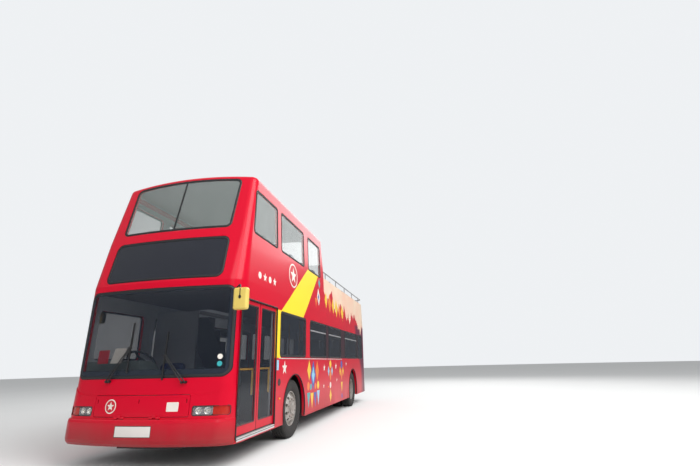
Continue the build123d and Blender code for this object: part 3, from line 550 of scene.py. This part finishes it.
def swept(path, section, up=(0, 0, 1)):
    """A section of (sideways, upward) points carried along a path and closed at both ends."""
    path = np.array(path, float)
    ahead = np.gradient(path, axis=0)
    ahead /= np.linalg.norm(ahead, axis=1, keepdims=True)
    sideways = np.cross(ahead, up)
    sideways /= np.linalg.norm(sideways, axis=1, keepdims=True)
    upward = np.cross(sideways, ahead)
    section = np.array(section)
    rows = path[:, None] + sideways[:, None] * section[:, :1] + upward[:, None] * section[:, 1:]
    ends = [np.repeat(path[end][None, None], rows.shape[1], axis=1) for end in (0, -1)]
    return grid(np.concatenate([ends[0], rows, ends[1]]), False, True)


def build(name, forms, finish, body, smooth=40):
    """One object from several forms, with doubled points merged and faces turned outwards."""
    mesh = bpy.data.meshes.new(name)
    counts = np.cumsum([0] + [len(points) for points, _ in forms])
    points = np.concatenate([points for points, _ in forms])
    quads = [quads + start for (_, quads), start in zip(forms, counts)]
    mesh.from_pydata(points.tolist(), [], [quad for group in quads for quad in group.tolist()])
    work = bmesh.new()
    work.from_mesh(mesh)
    bmesh.ops.remove_doubles(work, verts=work.verts, dist=0.00001)
    bmesh.ops.dissolve_degenerate(work, edges=work.edges, dist=0.00001)
    bmesh.ops.recalc_face_normals(work, faces=work.faces)
    work.to_mesh(mesh)
    work.free()
    mesh.materials.append(finish.material)
    mesh.shade_smooth()
    mesh.set_sharp_from_angle(angle=math.radians(smooth))
    piece = bpy.data.objects.new(name, mesh)
    bpy.context.collection.objects.link(piece)
    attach(piece, body)
    return piece


def matte(name, colour, roughness, grain=0.0001):
    """Plain moulded or painted matter with a fine grain and a slow drift of tone."""
    finish = Finish(name)
    drift = finish.noise(4.0, 3.0)
    finish.set(base_color=finish.mix(drift, colour, shade(colour, 0.7)))
    finish.set(roughness=roughness - 0.05 + drift * 0.1)
    finish.bump(finish.noise(300, 2.0), grain)
    return finish


rubber = matte("window_rubber", rubber_colour, 0.55)
# columns: first station, last station
nearside_windows = ((1.77, 3.16), (3.45, 4.73), (4.95, 6.28), (6.76, 8.55), (8.69, 9.49))
offside_windows = ((0.49, 1.48), (1.77, 3.16), (3.45, 4.73), (5.95, 6.58), (6.76, 8.55), (8.69, 9.49))
lower_sill = 1.36
lower_head = window_head
pane_corner = 0.06
# columns: first station at the sill, first station at the head, last station
upper_windows = ((0.62, 0.715, 1.61), (1.79, 1.79, 3.11), (3.40, 3.40, 4.35))
upper_sill = 3.20
upper_head = 3.95
screen_arch = [(0.955 * share, 4.14 + 0.045 * (1 - share**2)) for share in np.linspace(0.9, -0.9, 13)]
upper_corners = [(-0.93, 3.26), (0.93, 3.26), (0.955, 4.14), *screen_arch, (-0.955, 4.14)]
upper_screen = filleted(upper_corners, 0.08, 6)
for (side, name), windows in zip(sides, (nearside_windows, offside_windows)):
    hoops = [hoop(rounded(first, last, lower_sill, lower_head, pane_corner), on_side(side), rubber_section)
             for first, last in windows]
    for foot, head, last in upper_windows:
        corners = ((foot, upper_sill), (last, upper_sill), (last, upper_head), (head, upper_head))
        outline = filleted(corners, pane_corner)
        hoops.append(hoop(outline, on_side(side), rubber_section))
    build(f"window_rubbers_{name}", hoops, rubber, "bodywork")
screen_outline = rounded(-screen_half_width, screen_half_width, *screen_span, 0.12)
display_outline = rounded(-0.95, 0.95, 2.45, 3.08, 0.095)
front_hoops = [hoop(outline, on_front, rubber_section)
               for outline in (screen_outline, display_outline, upper_screen)]
build("front_rubbers", front_hoops, rubber, "bodywork")
rear_outline = rounded(-0.80, 0.80, 1.48, 2.06, 0.08)
build("rear_rubber", [hoop(rear_outline, on_rear, rubber_section)], rubber, "bodywork")
exit_glass = rounded(5.07, 5.69, lower_sill, 2.04, pane_corner)
build("emergency_door_rubber", [hoop(exit_glass, on_side(-1), rubber_section)], rubber, "emergency_door")
bar_path = [on_front(np.array(0.0), height) for height in np.linspace(3.27, 4.17, 8)]
bar_section = [(0.008, 0.012), (0.008, -0.012), (-0.002, -0.012), (-0.002, 0.012)]
build("upper_screen_bar", [swept(bar_path, bar_section, (1, 0, 0))], rubber, "bodywork")

# Hopper windows. The top quarter of most saloon windows slides behind an aluminium bar and looks
# darker; a pale trim strip runs under the windows on each side.
bar_height = 1.90
bar_half = 0.014
pane_inset = 0.028
# columns: first station, last station
trim_strips = ((1.72, 4.80), (4.86, 6.35))
trim_span = (1.318, 1.332)
bar_grey = matte("bar_aluminium", (0.30, 0.30, 0.31, 1), 0.4)
trim_grey = matte("pale_trim", (0.62, 0.57, 0.56, 1), 0.4)
dark_pane = tinted("hopper_glass", (0.008, 0.010, 0.018, 1), 0.80)


def plate(outline, skin, foot, top, rings=1):
    """A closed thin plate on a skin: its edge is the outline, its faces shrink to the middle in rings."""
    middle = outline.mean(axis=0)
    shares = np.linspace(0, 1, rings + 1)
    rows = [(share, top) for share in shares] + [(share, foot) for share in shares[::-1]]
    points = []
    for share, proud in rows:
        places = middle + share * (outline - middle)
        points.append(lifted(skin, places[:, 0], places[:, 1], proud))
    return grid(np.array(points), False, True)


# columns: windows that slide, strips under them
hopper_sides = (
    (nearside_windows[1:4], trim_strips),
    (offside_windows[1:3], trim_strips[:1]),
)
for (side, name), (windows, strips) in zip(sides, hopper_sides):
    skin = on_side(side)
    bars, panes = [], []
    for first, last in windows:
        bar = rounded(first + 0.026, last - 0.026, bar_height - bar_half, bar_height + bar_half, 0.004)
        pane = rounded(first + pane_inset, last - pane_inset, bar_height + 0.016, lower_head - pane_inset,
                       0.03)
        bars.append(plate(bar, skin, -0.006, 0.002))
        panes.append(plate(pane, skin, -0.0045, -0.003))
    trims = [plate(rounded(first, last, *trim_span, 0.006), skin, -0.001, 0.005) for first, last in strips]
    build(f"hopper_bars_{name}", bars, bar_grey, "bodywork")
    build(f"hopper_panes_{name}", panes, dark_pane, "bodywork")
    build(f"window_trims_{name}", trims, trim_grey, "bodywork")

# Artwork. Cut vinyl laid on the paint: a ringed star beside the stripe, a row of discs and stars over
# the doors, a row of kites on the open deck and three columns of kites, discs and pennants below.
vinyl_colours = {
    "pale": (0.86, 0.80, 0.72, 1), "red": (0.60, 0.004, 0.02, 1), "yellow": (0.90, 0.60, 0.04, 1),
    "orange": (0.85, 0.22, 0.03, 1), "teal": (0.03, 0.40, 0.42, 1), "blue": (0.05, 0.10, 0.42, 1),
    "sky": (0.30, 0.60, 0.78, 1),
}
# On the offside, nothing is laid on the emergency door or over its gaps between these stations.
exit_span = (4.80, 5.90)
# columns: shape, station, height, size, colour, how proud
motifs = (
    ("disc", 2.40, 2.86, 0.235, "pale", 0.0010), ("disc", 2.40, 2.86, 0.205, "red", 0.0016),
    ("star", 2.40, 2.86, 0.165, "pale", 0.0022),
    ("kite", 4.22, 3.04, 0.13, "teal", 0.0010), ("kite", 4.12, 2.70, 0.20, "pale", 0.0010),
    ("pennant", 3.90, 2.56, 0.12, "orange", 0.0010), ("kite", 4.12, 2.70, 0.09, "blue", 0.0018),
    ("star", 2.00, 1.17, 0.12, "pale", 0.0010), ("star", 4.55, 1.13, 0.085, "pale", 0.0010),
    ("star", 5.66, 1.15, 0.085, "pale", 0.0010), ("star", 5.75, 0.82, 0.05, "pale", 0.0010),
    ("star", 4.50, 0.74, 0.05, "pale", 0.0010), ("star", 6.88, 1.20, 0.06, "pale", 0.0010),
    ("kite", 3.40, 1.10, 0.20, "yellow", 0.0010), ("kite", 3.68, 1.00, 0.29, "blue", 0.0010),
    ("kite", 3.68, 1.00, 0.17, "sky", 0.0018), ("kite", 3.97, 1.08, 0.21, "orange", 0.0010),
    ("disc", 3.35, 0.80, 0.08, "orange", 0.0010), ("disc", 4.04, 0.79, 0.08, "yellow", 0.0010),
    ("disc", 3.52, 0.78, 0.06, "teal", 0.0010), ("disc", 3.84, 0.78, 0.06, "orange", 0.0010),
    ("pennant", 3.37, 0.56, 0.17, "teal", 0.0010), ("pennant", 3.60, 0.54, 0.17, "yellow", 0.0010),
    ("pennant", 3.83, 0.54, 0.17, "blue", 0.0010), ("pennant", 4.06, 0.56, 0.17, "sky", 0.0010),
    ("disc", 5.10, 1.21, 0.09, "yellow", 0.0010), ("kite", 5.10, 0.96, 0.15, "orange", 0.0010),
    ("kite", 4.94, 1.05, 0.12, "sky", 0.0010), ("kite", 5.26, 1.05, 0.12, "sky", 0.0010),
    ("disc", 5.10, 0.73, 0.07, "pale", 0.0010), ("kite", 5.10, 0.50, 0.15, "yellow", 0.0010),
    ("disc", 6.30, 1.19, 0.10, "blue", 0.0010), ("kite", 6.30, 0.93, 0.15, "orange", 0.0010),
    ("kite", 6.13, 1.02, 0.12, "yellow", 0.0010), ("kite", 6.47, 1.02, 0.12, "yellow", 0.0010),
    ("pennant", 6.30, 0.64, 0.15, "yellow", 0.0010), ("disc", 6.30, 0.40, 0.06, "blue", 0.0010),
    ("kite", 4.78, 2.72, 0.20, "yellow", 0.0010), ("kite", 5.13, 2.69, 0.24, "orange", 0.0010),
    ("kite", 5.48, 2.66, 0.20, "yellow", 0.0010), ("kite", 5.83, 2.64, 0.24, "yellow", 0.0010),
    ("kite", 6.18, 2.62, 0.20, "orange", 0.0010), ("kite", 6.53, 2.60, 0.24, "yellow", 0.0010),
    ("disc", 0.85, 2.56, 0.055, "pale", 0.0010), ("star", 1.05, 2.56, 0.075, "pale", 0.0010),
    ("disc", 1.25, 2.56, 0.055, "pale", 0.0010), ("star", 1.45, 2.56, 0.075, "pale", 0.0010),
)


def ring(radius, steps=12):
    """A round section."""
    angle = np.arange(steps) * 2 * np.pi / steps
    return np.stack([radius * np.cos(angle), radius * np.sin(angle)], axis=1)


def star(radius, points=5):
    """A star's outline: corners in turn on an outer and an inner circle."""
    corner = np.arange(2 * points)
    angle = np.pi / 2 + corner * np.pi / points
    reach = np.where(corner % 2 == 0, radius, 0.42 * radius)
    return np.stack([reach * np.cos(angle), reach * np.sin(angle)], axis=1)


def motif(kind, station, height, size):
    """A motif's outline about its place on the side."""
    shapes = {"star": star(size), "disc": ring(size, 40),
              "kite": np.array([(0, size), (-0.62 * size, 0), (0, -size), (0.62 * size, 0)]),
              "pennant": np.array([(-0.6 * size, 0.7 * size), (0.6 * size, 0.7 * size), (0, -size)])}
    return shapes[kind] + (station, height)


vinyl = {name: matte(f"vinyl_{name}", colour, 0.4, 0.00005) for name, colour in vinyl_colours.items()}
for side, name in sides:
    for colour, finish in vinyl.items():
        plates = []
        for kind, station, height, size, tone, proud in motifs:
            on_exit = side < 0 and exit_span[0] < station < exit_span[1] and height < lower_head
            if tone == colour and not on_exit:
                plates.append(plate(motif(kind, station, height, size), on_side(side), -0.0005, proud))
        build(f"artwork_{name}_{colour}", plates, finish, "bodywork")
badge_place = (-0.43, 0.755)
flap_ring = ring(1.0, 40)
# columns: name, outline, colour, lowest and highest face above the body's skin
flap_vinyls = (
    ("badge_rim", 0.088 * flap_ring + badge_place, "pale", 0.0070, 0.0092),
    ("badge_field", 0.074 * flap_ring + badge_place, "red", 0.0080, 0.0099),
    ("badge_star", star(0.058) + badge_place, "pale", 0.0088, 0.0106),
    ("label", rounded(0.40, 0.56, 0.69, 0.80, 0.01), "pale", 0.0070, 0.0092),
)
for name, outline, tone, foot, top in flap_vinyls:
    build(f"flap_{name}", [plate(outline, on_front, foot, top, 6)], vinyl[tone], "front_flap")

# Small things on the body. A fuel filler cap, two amber side markers, a pale blue label, a bright
# step edge under the doors, black linings in the flap's latch slots and rubber lips on the arches.
cap_black = matte("cap_black", (0.03, 0.01, 0.012, 1), 0.4)
marker_spans = ((1.745, 1.815), (4.86, 4.93))
# columns: name, outlines, highest face above the skin, finish, slot
fittings = (
    ("filler_cap", [ring(0.058, 32) + (1.76, 0.95)], 0.004, cap_black, "trim"),
    ("side_markers", [rounded(first, last, 0.685, 0.715, 0.012) for first, last in marker_spans], 0.012,
     vinyl["orange"], "indicator_glass"),
    ("door_label", [rounded(1.635, 1.725, 1.14, 1.30, 0.008)], 0.001, vinyl["sky"], "red_paint"),
)
for name, outlines, proud, finish, slot in fittings:
    plates = [plate(outline, on_side(1), -0.001, proud) for outline in outlines]
    build(name, plates, finish, "bodywork")
step_span = (0.345, 1.60)
latch_half = 0.0065
tyre_radius = 0.479
front_axle = 2.54
rear_axle = 7.79
lip_radius = 0.5735


def rectangle(half_width, half_height):
    """A rectangular section about its middle."""
    return [(half_width, half_height), (-half_width, half_height), (-half_width, -half_height),
            (half_width, -half_height)]


def block(x, stations, heights):
    """A plain box between two places on each axis."""
    (x0, x1), (s0, s1), (z0, z1) = x, stations, heights
    middle = ((x0 + x1) / 2, (z0 + z1) / 2)
    half = ((x1 - x0) / 2, (z1 - z0) / 2)
    path = [(middle[0], station + front_face, middle[1]) for station in (s0, s1)]
    return swept(path, rectangle(*half))


step_silver = matte("step_aluminium", (0.62, 0.62, 0.61, 1), 0.35)
step_forms = [block((1.199, 1.2625), step_span, (0.3405, 0.3435)),
              block((1.2602, 1.2625), step_span, (0.300, 0.342))]
build("step_edge", step_forms, step_silver, "bodywork")
slot_black = matte("slot_black", (0.01, 0.01, 0.01, 1), 0.6)
latches = [rounded(x - latch_half, x + latch_half, 0.791, 0.837, 0.004) for x in (-0.66, 0.0, 0.66)]
build("latch_linings", [plate(latch, on_front, -0.0138, -0.004) for latch in latches], slot_black,
      "front_flap")
lip_turn = np.linspace(-0.30, np.pi + 0.30, 60)
lip_height = tyre_radius + lip_radius * np.sin(lip_turn)
arch_lips = []
for axle in (front_axle, rear_axle):
    for side, _ in sides:
        path = on_side(side)(axle + lip_radius * np.cos(lip_turn), lip_height)
        arch_lips.append(swept(path, rectangle(0.006, 0.010), (side, 0, 0)))
build("arch_lips", arch_lips, rubber, "bodywork")

# Entrance doors. Painted leaves with yellow grab handles, black rubber round each pane and down
# the edge where the leaves meet, and a brush seal under each leaf.
door_finish = coach_paint("door_paint", plain_livery)
handle = (1 - door_finish.x.past(1.1815)) * door_finish.z.between(0.81, 1.20)
inner_face = (1 - door_finish.x.past(1.199)) * (1 - handle)
door_red = door_finish.mix(door_finish.noise(0.9, 3.0) * 0.5, body_red, shade(body_red, 0.7))
door_inside = door_finish.mix(inner_face, door_red, (0.30, 0.31, 0.33, 1))
door_finish.set(base_color=door_finish.mix(handle, door_inside, (1.0, 0.58, 0.06, 1)))
dress(door_finish, "front_door_leaf", "rear_door_leaf")


def on_plane(x):
    """An upright plane along the bus at x."""
    def skin(station, height):
        return np.stack([x + 0 * station, station + front_face, height], axis=-1)
    return skin


door_face = on_plane(1.234)
pane_section = [(-0.010, -0.016), (-0.010, -0.012), (0.003, 0.002), (0.010, 0.001), (0.010, -0.001),
                (0.002, -0.016)]
# columns: body, then the first and last station of the pane, of the upright seal and of the brush
leaves = (
    ("front_door", (0.368, 0.904), (0.9595, 0.9685), (0.344, 0.958)),
    ("rear_door", (1.036, 1.572), (0.9715, 0.9805), (0.982, 1.596)),
)
for body, pane_span, seal_span, brush_span in leaves:
    seals = [hoop(rounded(*pane_span, 0.48, 2.068, 0.02), door_face, pane_section),
             block((1.203, 1.230), seal_span, (0.367, 2.126)),
             block((1.208, 1.226), brush_span, (0.350, 0.3655))]
    build(f"{body}_rubbers", seals, rubber, body)
frame_section = [(-0.006, -0.020), (-0.006, 0.002), (0.010, 0.003), (0.014, 0.0), (0.014, -0.002),
                 (-0.004, -0.020)]
doorway = rounded(0.330, 1.610, 0.331, 2.140, 0.012)
build("doorway_rubber", [hoop(doorway, on_plane(body_half), frame_section)], rubber, "bodywork")

# Lamps. Bright cups in a black housing behind clear lenses at the front, dull orange indicators
# beside them, and red and amber round lamps with black rims at the rear.
cup_offsets = (0.815, 0.925)
cup_height = 0.694
cup_radius = 0.0425
lens_span = (0.745, 1.19)
tail_across = 1.09
tail_heights = (0.76, 0.90, 1.04)
amber_head = 0.97
housing = Finish("lamp_housing", roughness=0.15)
rise = housing.z - cup_height
reaches = [(abs(housing.x) - x) * (abs(housing.x) - x) + rise * rise for x in cup_offsets]
in_cup = 1 - reaches[0].least(reaches[1]).root().past(cup_radius)
housing.set(base_color=housing.mix(in_cup, (0.05, 0.04, 0.04, 1), (0.90, 0.88, 0.84, 1)))
housing.set(metallic=in_cup * 0.95)
housing.bump(housing.noise(60, 2.0), 0.0006)
dress(housing, "reflectors")
dress(tinted("lamp_glass", (0.55, 0.56, 0.58, 1), 0.16), "headlamps")
amber = tinted("indicator_glass", (0.42, 0.018, 0.010, 1), 0.97)
amber.bump((amber.x * 420).sine(), 0.0005)
dress(amber, "indicators")
tail_red = tinted("tail_glass", (0.45, 0.01, 0.01, 1), 0.96)
amber_part = tail_red.z.past(amber_head)
tail_red.set(base_color=tail_red.mix(amber_part, (0.45, 0.008, 0.008, 1), (0.75, 0.20, 0.02, 1)))
dress(tail_red, "tail_lamps")
bulb_finish = matte("bulb_glass", (0.90, 0.80, 0.55, 1), 0.2)
bulbs = []
for x in (*cup_offsets, *(-x for x in cup_offsets)):
    front = on_front(np.array(x), np.array(cup_height))
    bulbs.append(swept([front + (0, depth, 0) for depth in (0.018, 0.030, 0.044)], ring(0.010)))
build("lamp_bulbs", bulbs, bulb_finish, "bodywork")
bezel_section = [(-0.003, 0.0), (-0.002, 0.0095), (0.005, 0.0105), (0.008, 0.0085), (0.006, 0.002)]
rim_section = [(-0.004, -0.002), (-0.003, 0.006), (0.006, 0.004), (0.008, -0.001)]
bezels = []
for side, _ in sides:
    first, last = sorted(side * x for x in lens_span)
    bezels.append(hoop(rounded(first, last, 0.64, 0.748, 0.022), on_front, bezel_section))
rear_rims = [hoop(ring(0.050, 32) + (x, height), on_rear, rim_section)
             for x in (-tail_across, tail_across) for height in tail_heights]
build("lamp_bezels", bezels + rear_rims, slot_black, "bodywork")

# Wipers. Two black wipers with double arms, on bosses below the windscreen. They are parked with
# their blades upright, in line with the panel's bow.
# columns: pivot across, pivot height, blade across, blade height at its middle, blade half length
wipers = (
    (-0.544, 1.065, -0.262, 1.50, 0.33),
    (0.595, 1.040, 0.285, 1.38, 0.31),
)
wiper_black = matte("wiper_black", (0.012, 0.012, 0.013, 1), 0.45)


def along_front(first, last, proud, count=12):
    """A path on the front's skin between two places across it and up, at a height above it."""
    share = np.linspace(0, 1, count)
    x, z = (first[k] + share * (last[k] - first[k]) for k in (0, 1))
    rise = np.interp(share, (0, 0.25, 1), (proud, 1.2 * proud, 0.6 * proud))
    return lifted(on_front, x, z, rise[:, None])


wiper_forms = []
for pivot_x, pivot_z, blade_x, blade_z, half in wipers:
    for apart in (-0.022, 0.022):
        arm = along_front((pivot_x + apart, pivot_z), (blade_x + apart / 2, blade_z), 0.036)
        wiper_forms.append(swept(arm, ring(0.0075, 8)))
        boss = on_front(np.array(pivot_x + apart), np.array(pivot_z))
        boss_path = [boss + (0, depth, 0) for depth in (0.004, -0.030, -0.042)]
        wiper_forms.append(swept(boss_path, ring(0.017, 16)))
    blade = along_front((blade_x, blade_z - half), (blade_x, blade_z + half), 0.014, 20)
    wiper_forms.append(swept(blade, [(0.011, 0.006), (-0.011, 0.006), (-0.006, -0.012), (0.006, -0.012)]))
    yoke = along_front((blade_x - 0.03, blade_z), (blade_x + 0.03, blade_z), 0.030, 3)
    wiper_forms.append(swept(yoke, ring(0.010, 8)))
build("wipers", wiper_forms, wiper_black, "bodywork")

# Cards and labels at the windscreen. Blank cards lean inside the glass on the driver's side, and
# two round labels stick low on the entrance side.
leaning_card = filleted(((-0.62, 1.30), (-0.42, 1.30), (-0.36, 1.50), (-0.56, 1.50)), 0.01)
# columns: name, outline, colour, lowest and highest face above the body's skin
screen_cards = (
    ("card_red", rounded(-0.86, -0.66, 1.30, 1.48, 0.01), "red", -0.032, -0.030),
    ("card_pale", leaning_card, "pale", -0.032, -0.030),
    ("label_pale", ring(0.034, 28) + (1.03, 1.35), "pale", -0.0055, -0.004),
    ("label_teal", ring(0.034, 28) + (1.03, 1.26), "teal", -0.0055, -0.004),
)
for name, outline, tone, foot, top in screen_cards:
    build(f"screen_{name}", [plate(outline, on_front, foot, top, 2)], vinyl[tone], "bodywork")

# Mirrors. Yellow moulded heads hang from black tubes at the front corners. Each has a mirror glass
# behind and a black clamp in front.
mirror_across = 1.365
case_head = 2.223
# columns: side, station, height
mirror_heads = ((1, 0.052, 2.075), (-1, 0.640, 2.060))
mirror_finish = Finish("mirror_case", roughness=0.35)
yellow_case = 1 - mirror_finish.z.past(case_head)
case_drift = mirror_finish.noise(5.0, 3.0)
case_tone = mirror_finish.mix(case_drift, (0.72, 0.55, 0.13, 1), (0.60, 0.44, 0.10, 1))
mirror_finish.set(base_color=mirror_finish.mix(yellow_case, (0.015, 0.015, 0.016, 1), case_tone))
dress(mirror_finish, "mirrors")
mirror_glass = Finish("mirror_silver", metallic=1.0, base_color=(0.85, 0.86, 0.88, 1))
mirror_glass.set(roughness=0.02 + mirror_glass.noise(9.0) * 0.02)
glasses, clamps = [], []


def on_head(station):
    """The upright face of a mirror head across the bus."""
    def skin(x, height):
        return np.stack([x, station + front_face + 0 * x, height], axis=-1)
    return skin


for side, station, height in mirror_heads:
    x = side * mirror_across
    outline = rounded(-0.076, 0.076, -0.118, 0.118, 0.02) + (x, height)
    glasses.append(plate(outline, on_head(station + 0.045), -0.0015, 0.001))
    neck = station - 0.0455
    strap_heights = (height + 0.03, height + 0.135)
    clamps.append(block((x - 0.006, x + 0.006), (neck - 0.0035, neck + 0.002), strap_heights))
    oval = ring(1.0, 24) * (0.019, 0.026) + (x, height + 0.02)
    clamps.append(plate(oval, on_head(neck), -0.002, 0.0038))
build("mirror_glasses", glasses, mirror_glass, "bodywork")
build("mirror_clamps", clamps, wiper_black, "bodywork")

# Tyres. Radial bus tyres with four grooves round the tread, cuts across the shoulders and a ribbed
# sidewall; each carcass stands for its packed tyre.
tyre_half = 0.138
tread_half = 0.110
crown_drop = 0.0035
rim_seat = 0.2865
groove_places = (-0.072, -0.025, 0.025, 0.072)
groove_half = 0.0055
groove_depth = 0.013
sipe_count = 60
sipe_depth = 0.007


def tyre_form(centre, steps=240):
    """A grid of two parameters: round the section and round the wheel.

    The section runs from bead to bead over the crown; where its place across lies in a groove the
    radius drops, and at the shoulders it drops again in short cuts spaced evenly round the wheel.
    """
    tread = [-tread_half]
    for place in groove_places:
        tread += [place + share * groove_half for share in (-1, -0.7, 0.7, 1)]
    tread.append(tread_half)
    side = [(-0.098, rim_seat), (-0.112, rim_seat + 0.012), (-0.130, 0.345), (-tyre_half, 0.385),
            (-0.1365, 0.415), (-0.132, 0.425), (-0.1335, 0.437), (-0.129, 0.446), (-0.121, 0.462)]
    cut = np.isin(np.arange(len(tread)), [1 + 4 * k + j for k in range(4) for j in (1, 2)])
    crown = [(x, tyre_radius - crown_drop * (x / tread_half)**2 - groove_depth * low)
             for x, low in zip(tread, cut)]
    profile = np.array(side + crown + [(-x, radius) for x, radius in side[::-1]])
    angle = np.arange(steps) * 2 * np.pi / steps
    first = np.array((7, 8, 9))
    shoulder = np.isin(np.arange(len(profile)), (first, len(profile) - 1 - first))
    sipe = np.arange(steps) % (steps // sipe_count) == 0
    radius = profile[:, 1, None] - sipe_depth * shoulder[:, None] * sipe[None, :]
    x = profile[:, 0, None] + 0 * angle
    rows = np.stack([x, radius * np.cos(angle), radius * np.sin(angle)], axis=-1) + np.array(centre)
    return grid(rows, True, True)


tyre_rubber = Finish("tyre_rubber", specular_ior_level=0.3)
tyre_dust = tyre_rubber.noise(7.0, 4.0)
tyre_rubber.set(base_color=tyre_rubber.mix(tyre_dust, (0.018, 0.018, 0.020, 1), (0.050, 0.046, 0.042, 1)),
                roughness=0.75 + tyre_dust * 0.15)
tyre_rubber.bump(tyre_rubber.noise(220, 2.0), 0.0002)
# columns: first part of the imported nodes' names and of the bodies' names, places across, station
tyre_places = (
    ("front_tyre", "front_wheel", (1.082,), front_axle),
    ("rear_tyres", "rear_wheels", (1.09, 0.78), rear_axle),
)
for node, body, places, station in tyre_places:
    for side, name in sides:
        forms = [tyre_form((side * x, front_face + station, tyre_radius)) for x in places]
        carcass = build(f"{node}_{name}_tread", forms, tyre_rubber, f"{body}_{name}", 30)
        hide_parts(f"{node}_{name}")

# Wheels. Silver pressed discs with patches of brown dust, ten nuts with their studs, and a turned hub cap.
wheel_finish = Finish("wheel_silver", metallic=0.3)
wheel_dust = wheel_finish.noise(9.0, 4.0)
wheel_finish.set(base_color=wheel_finish.mix(wheel_dust, (0.50, 0.49, 0.48, 1), (0.22, 0.17, 0.13, 1)))
wheel_finish.set(roughness=0.35 + wheel_dust * 0.2)
dress(wheel_finish, "front_rim_nearside", "front_rim_offside", "rear_rims_nearside", "rear_rims_offside")
nut_finish = matte("nut_steel", (0.30, 0.27, 0.24, 1), 0.4)
nut_circle = 0.150
nut_count = 10
nut_turn = 0.314
# columns: first part of the bodies' names, the disc's face and the hub's end across, hub radius, station
hubs = (
    ("front_wheel", 1.197, 1.225, 0.085, front_axle),
    ("rear_wheels", 0.949, 1.130, 0.105, rear_axle),
)
# columns: outward, radius
nut_profile = [(-0.001, 0.0), (-0.001, 0.018), (0.016, 0.018), (0.020, 0.014), (0.020, 0.009),
               (0.030, 0.008), (0.030, 0.0)]


def turned(profile, centre, steps=48, side=1):
    """A profile of (outward, radius) points turned about a line along X through the centre."""
    angle = np.arange(steps) * 2 * np.pi / steps
    x, radius = np.array(profile, float).T
    across = side * x[:, None] + 0 * angle
    radius = radius[:, None]
    rows = np.stack([across, radius * np.cos(angle), radius * np.sin(angle)], axis=-1)
    return grid(rows + np.array(centre), False, True)


for axle, face, end, hub_radius, station in hubs:
    cap = [(-0.002, 0.0), (-0.002, 0.62 * hub_radius), (0.006, 0.60 * hub_radius),
           (0.011, 0.48 * hub_radius), (0.011, 0.0)]
    for side, name in sides:
        body = f"{axle}_{name}"
        centre = np.array((side * face, front_face + station, tyre_radius))
        nuts = []
        for turn in np.arange(nut_count) * 2 * np.pi / nut_count + nut_turn:
            place = centre + nut_circle * np.array((0, math.cos(turn), math.sin(turn)))
            nuts.append(turned(nut_profile, place, 6, side))
        nuts.append(turned(cap, centre + (side * (end - face), 0, 0), 32, side))
        build(f"{body}_nuts", nuts, nut_finish, body, 25)

# Seats, floors and linings. Moulded blue seats on a speckled grey floor, grey linings, black
# chassis parts, painted tubes.
seat_finish = Finish("seat_moulding", roughness=0.5)
fleck = seat_finish.noise(14.0, 3.0).past(0.55, 0.1)
seat_finish.set(base_color=seat_finish.mix(fleck, (0.025, 0.035, 0.14, 1), (0.04, 0.06, 0.24, 1)))
dress(seat_finish, "upper_seats", "lower_seats", "driver_seat")
speckle = Finish("floor_covering", roughness=0.75)
grit = speckle.noise(240, 1.0).past(0.6, 0.1)
speckle.set(base_color=speckle.mix(grit, (0.09, 0.09, 0.10, 1), (0.3, 0.3, 0.3, 1)))
dress(speckle, "lower_floor", "upper_floor", "staircase")
dress(matte("grey_lining", (0.36, 0.37, 0.39, 1), 0.6), "engine_bulkhead", "cab_partition")
dress(matte("chassis_black", (0.022, 0.022, 0.024, 1), 0.6), "chassis_frame", "front_axle", "rear_axle",
      "knuckle_nearside", "knuckle_offside", "engine", "wheelhouses")
dress(matte("dash_plastic", (0.12, 0.15, 0.14, 1), 0.6), "dashboard")
dress(matte("wheel_plastic", (0.02, 0.02, 0.022, 1), 0.5), "steering_wheel")
dress(matte("rail_paint", (0.34, 0.34, 0.35, 1), 0.35), "deck_rails", "stair_guard")
dress(matte("pole_paint", (0.80, 0.38, 0.04, 1), 0.35), "saloon_poles")
